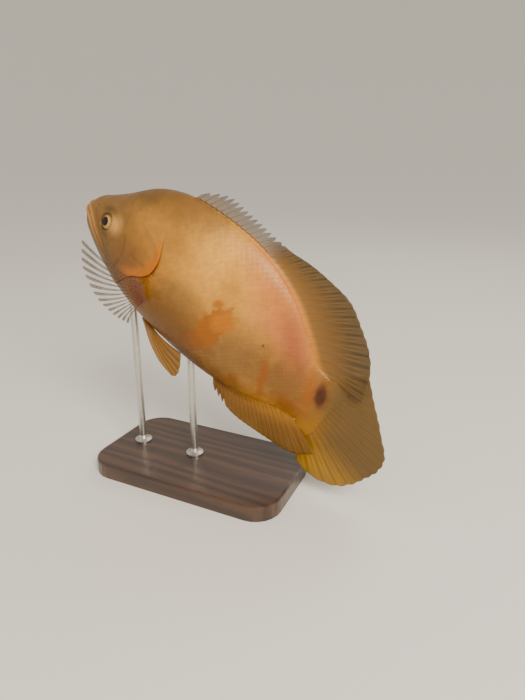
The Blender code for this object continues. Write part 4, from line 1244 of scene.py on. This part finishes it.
# %% [markdown]
# ## The stand
#
# A museum stand should be quiet: a slab of dark hardwood and two thin turned rods. The solids already
# have the right shape, so they keep it and get a finish: rings of growth stretched along the slab
# under satin varnish, and steel with fine turning marks.

# %% Wood and steel


def wood_material():
    """Bands of growth rings bent by noise, with short dark pores along the grain."""
    material, tree, shader = new_material("stained_hardwood")
    spot = add_node(tree, "TexCoord").outputs["Object"]
    stretched = add_node(tree, "Mapping", {"Vector": spot, "Scale": (6.0, 60.0, 60.0)}).outputs[0]
    sway = noise_value(tree, stretched, 0.8, 3.0)
    rings = add_node(tree, "TexWave", {"Vector": stretched, "Scale": 0.45, "Distortion": 14.0, "Detail": 4.0},
                     bands_direction="Y").outputs[1]
    fine = add_node(tree, "Mapping", {"Vector": spot, "Scale": (60.0, 1500.0, 1500.0)}).outputs[0]
    pores = noise_value(tree, fine, 1.0)
    colour = mixed(tree, rings, paint(58, 38, 28), paint(88, 60, 42))
    colour = mixed(tree, times(tree, sway, 0.5), colour, paint(44, 28, 20))
    colour = mixed(tree, between(tree, pores, 0.60, 0.75), colour, paint(30, 18, 12))
    tree.links.new(colour, shader.inputs["Base Color"])
    add_bump(tree, shader, pores, 0.15, 0.0002)
    shader.inputs["Roughness"].default_value = 0.38
    shader.inputs["Coat Weight"].default_value = 0.35
    shader.inputs["Coat Roughness"].default_value = 0.22
    return material


def steel_material():
    """Turned steel: fine rings round the rod and a faint cloud in the polish."""
    material, tree, shader = new_material("turned_steel")
    spot = add_node(tree, "TexCoord").outputs["Object"]
    rings = add_node(tree, "Mapping", {"Vector": spot, "Scale": (40.0, 40.0, 9000.0)}).outputs[0]
    marks = noise_value(tree, rings, 1.0)
    colour = mixed(tree, noise_value(tree, spot, 300.0), paint(190, 186, 178), paint(214, 210, 202))
    tree.links.new(colour, shader.inputs["Base Color"])
    rough = add_node(tree, "MapRange", {"Value": marks, "To Min": 0.22, "To Max": 0.42}).outputs[0]
    tree.links.new(rough, shader.inputs["Roughness"])
    add_bump(tree, shader, marks, 0.1, 0.0001)
    shader.inputs["Metallic"].default_value = 1.0
    return material


WOOD, STEEL = wood_material(), steel_material()
for node_name, finish in (("stand_base", WOOD), ("stand_rod_front", STEEL), ("stand_rod_rear", STEEL)):
    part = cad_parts[node_name]
    part.data.materials.clear()
    part.data.materials.append(finish)
    print(node_name, "is", finish.name)

# %% [markdown]
# ## Floor and light
#
# A plain pale floor that curves up far away on all sides leaves nothing to look at but the fish. The
# light is soft and comes mostly from behind the camera's right shoulder, as on the flank in the
# picture, with a weak fill and a weak light from behind, so that belly and back keep their shape.

# %% Floor, lights and surroundings
FLOOR_RADIUS, FLOOR_REACH, FLOOR_RISE = 0.4, 4.6, 2.6
FLOOR_SIDES, FLAT_RINGS, BEND_RINGS = 96, 8, 60


def add_floor():
    """A turned dish: flat in the middle, then up along a quarter of an ellipse."""
    turn = np.linspace(0, 2 * np.pi, FLOOR_SIDES, endpoint=False)
    bend = np.linspace(0, np.pi / 2, BEND_RINGS)[1:]
    flat = np.linspace(0.02, FLOOR_RADIUS, FLAT_RINGS)
    radius = np.concatenate([flat, FLOOR_RADIUS + FLOOR_REACH * np.sin(bend)])
    height = np.concatenate([0 * flat, FLOOR_RISE * (1 - np.cos(bend))])
    points = np.stack([radius[:, None] * np.cos(turn), radius[:, None] * np.sin(turn),
                       height[:, None] + 0 * turn], axis=-1)
    faces = grid_faces(len(radius), FLOOR_SIDES, wrap=True)[:, ::-1].tolist() + [list(range(FLOOR_SIDES))]
    mesh = bpy.data.meshes.new("floor")
    mesh.from_pydata(points.reshape(-1, 3).tolist(), [], faces)
    mesh.shade_smooth()
    material, _, shader = new_material("pale_floor")
    shader.inputs["Base Color"].default_value = paint(236, 231, 222)
    shader.inputs["Roughness"].default_value = 0.8
    mesh.materials.append(material)
    floor = bpy.data.objects.new("floor", mesh)
    bpy.context.scene.collection.objects.link(floor)
    floor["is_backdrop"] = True


def add_softbox(name, place, size, watts, tone):
    """A square area light at a place, facing the fish."""
    lamp = bpy.data.lights.new(name, "AREA")
    lamp.size, lamp.energy, lamp.color = size, watts, tone
    box = bpy.data.objects.new(name, lamp)
    box.location = place
    toward = np.array(AIM) - np.array(place)
    box.rotation_euler = (math.atan2(np.hypot(toward[0], toward[1]), -toward[2]), 0,
                          math.atan2(toward[1], toward[0]) - math.pi / 2)
    box.visible_camera = False
    bpy.context.scene.collection.objects.link(box)


def add_surroundings(tone, strength):
    """An even pale surround."""
    world = bpy.data.worlds.new("surround")
    world.use_nodes = True
    background = world.node_tree.nodes["Background"]
    background.inputs["Color"].default_value = tone
    background.inputs["Strength"].default_value = strength
    bpy.context.scene.world = world


add_floor()
add_softbox("key", (0.80, -0.70, 0.90), 0.6, 20.0, (1.0, 0.95, 0.84))
add_softbox("fill", (-0.9, -0.5, 0.45), 0.9, 1.0, (1.0, 0.96, 0.90))
add_softbox("back", (0.1, 0.9, 0.9), 0.7, 2.0, (1.0, 0.98, 0.95))
add_surroundings(paint(240, 236, 228), 0.80)
print("lights:", [lamp.name for lamp in bpy.data.lights])

# %% [markdown]
# ## Sizes and finish
#
# The dressed fish is meant to stay inside the box of its solids. The last cell prints how many
# millimetres the dressed box grows past the solids' box at its top corner.

# %% Print how far the box grows
shown_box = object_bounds()
growth = [round((b - a) * 1000, 2) for a, b in zip(cad_box[1], shown_box[1])]
print("box grows by", growth, "mm at the top corner")
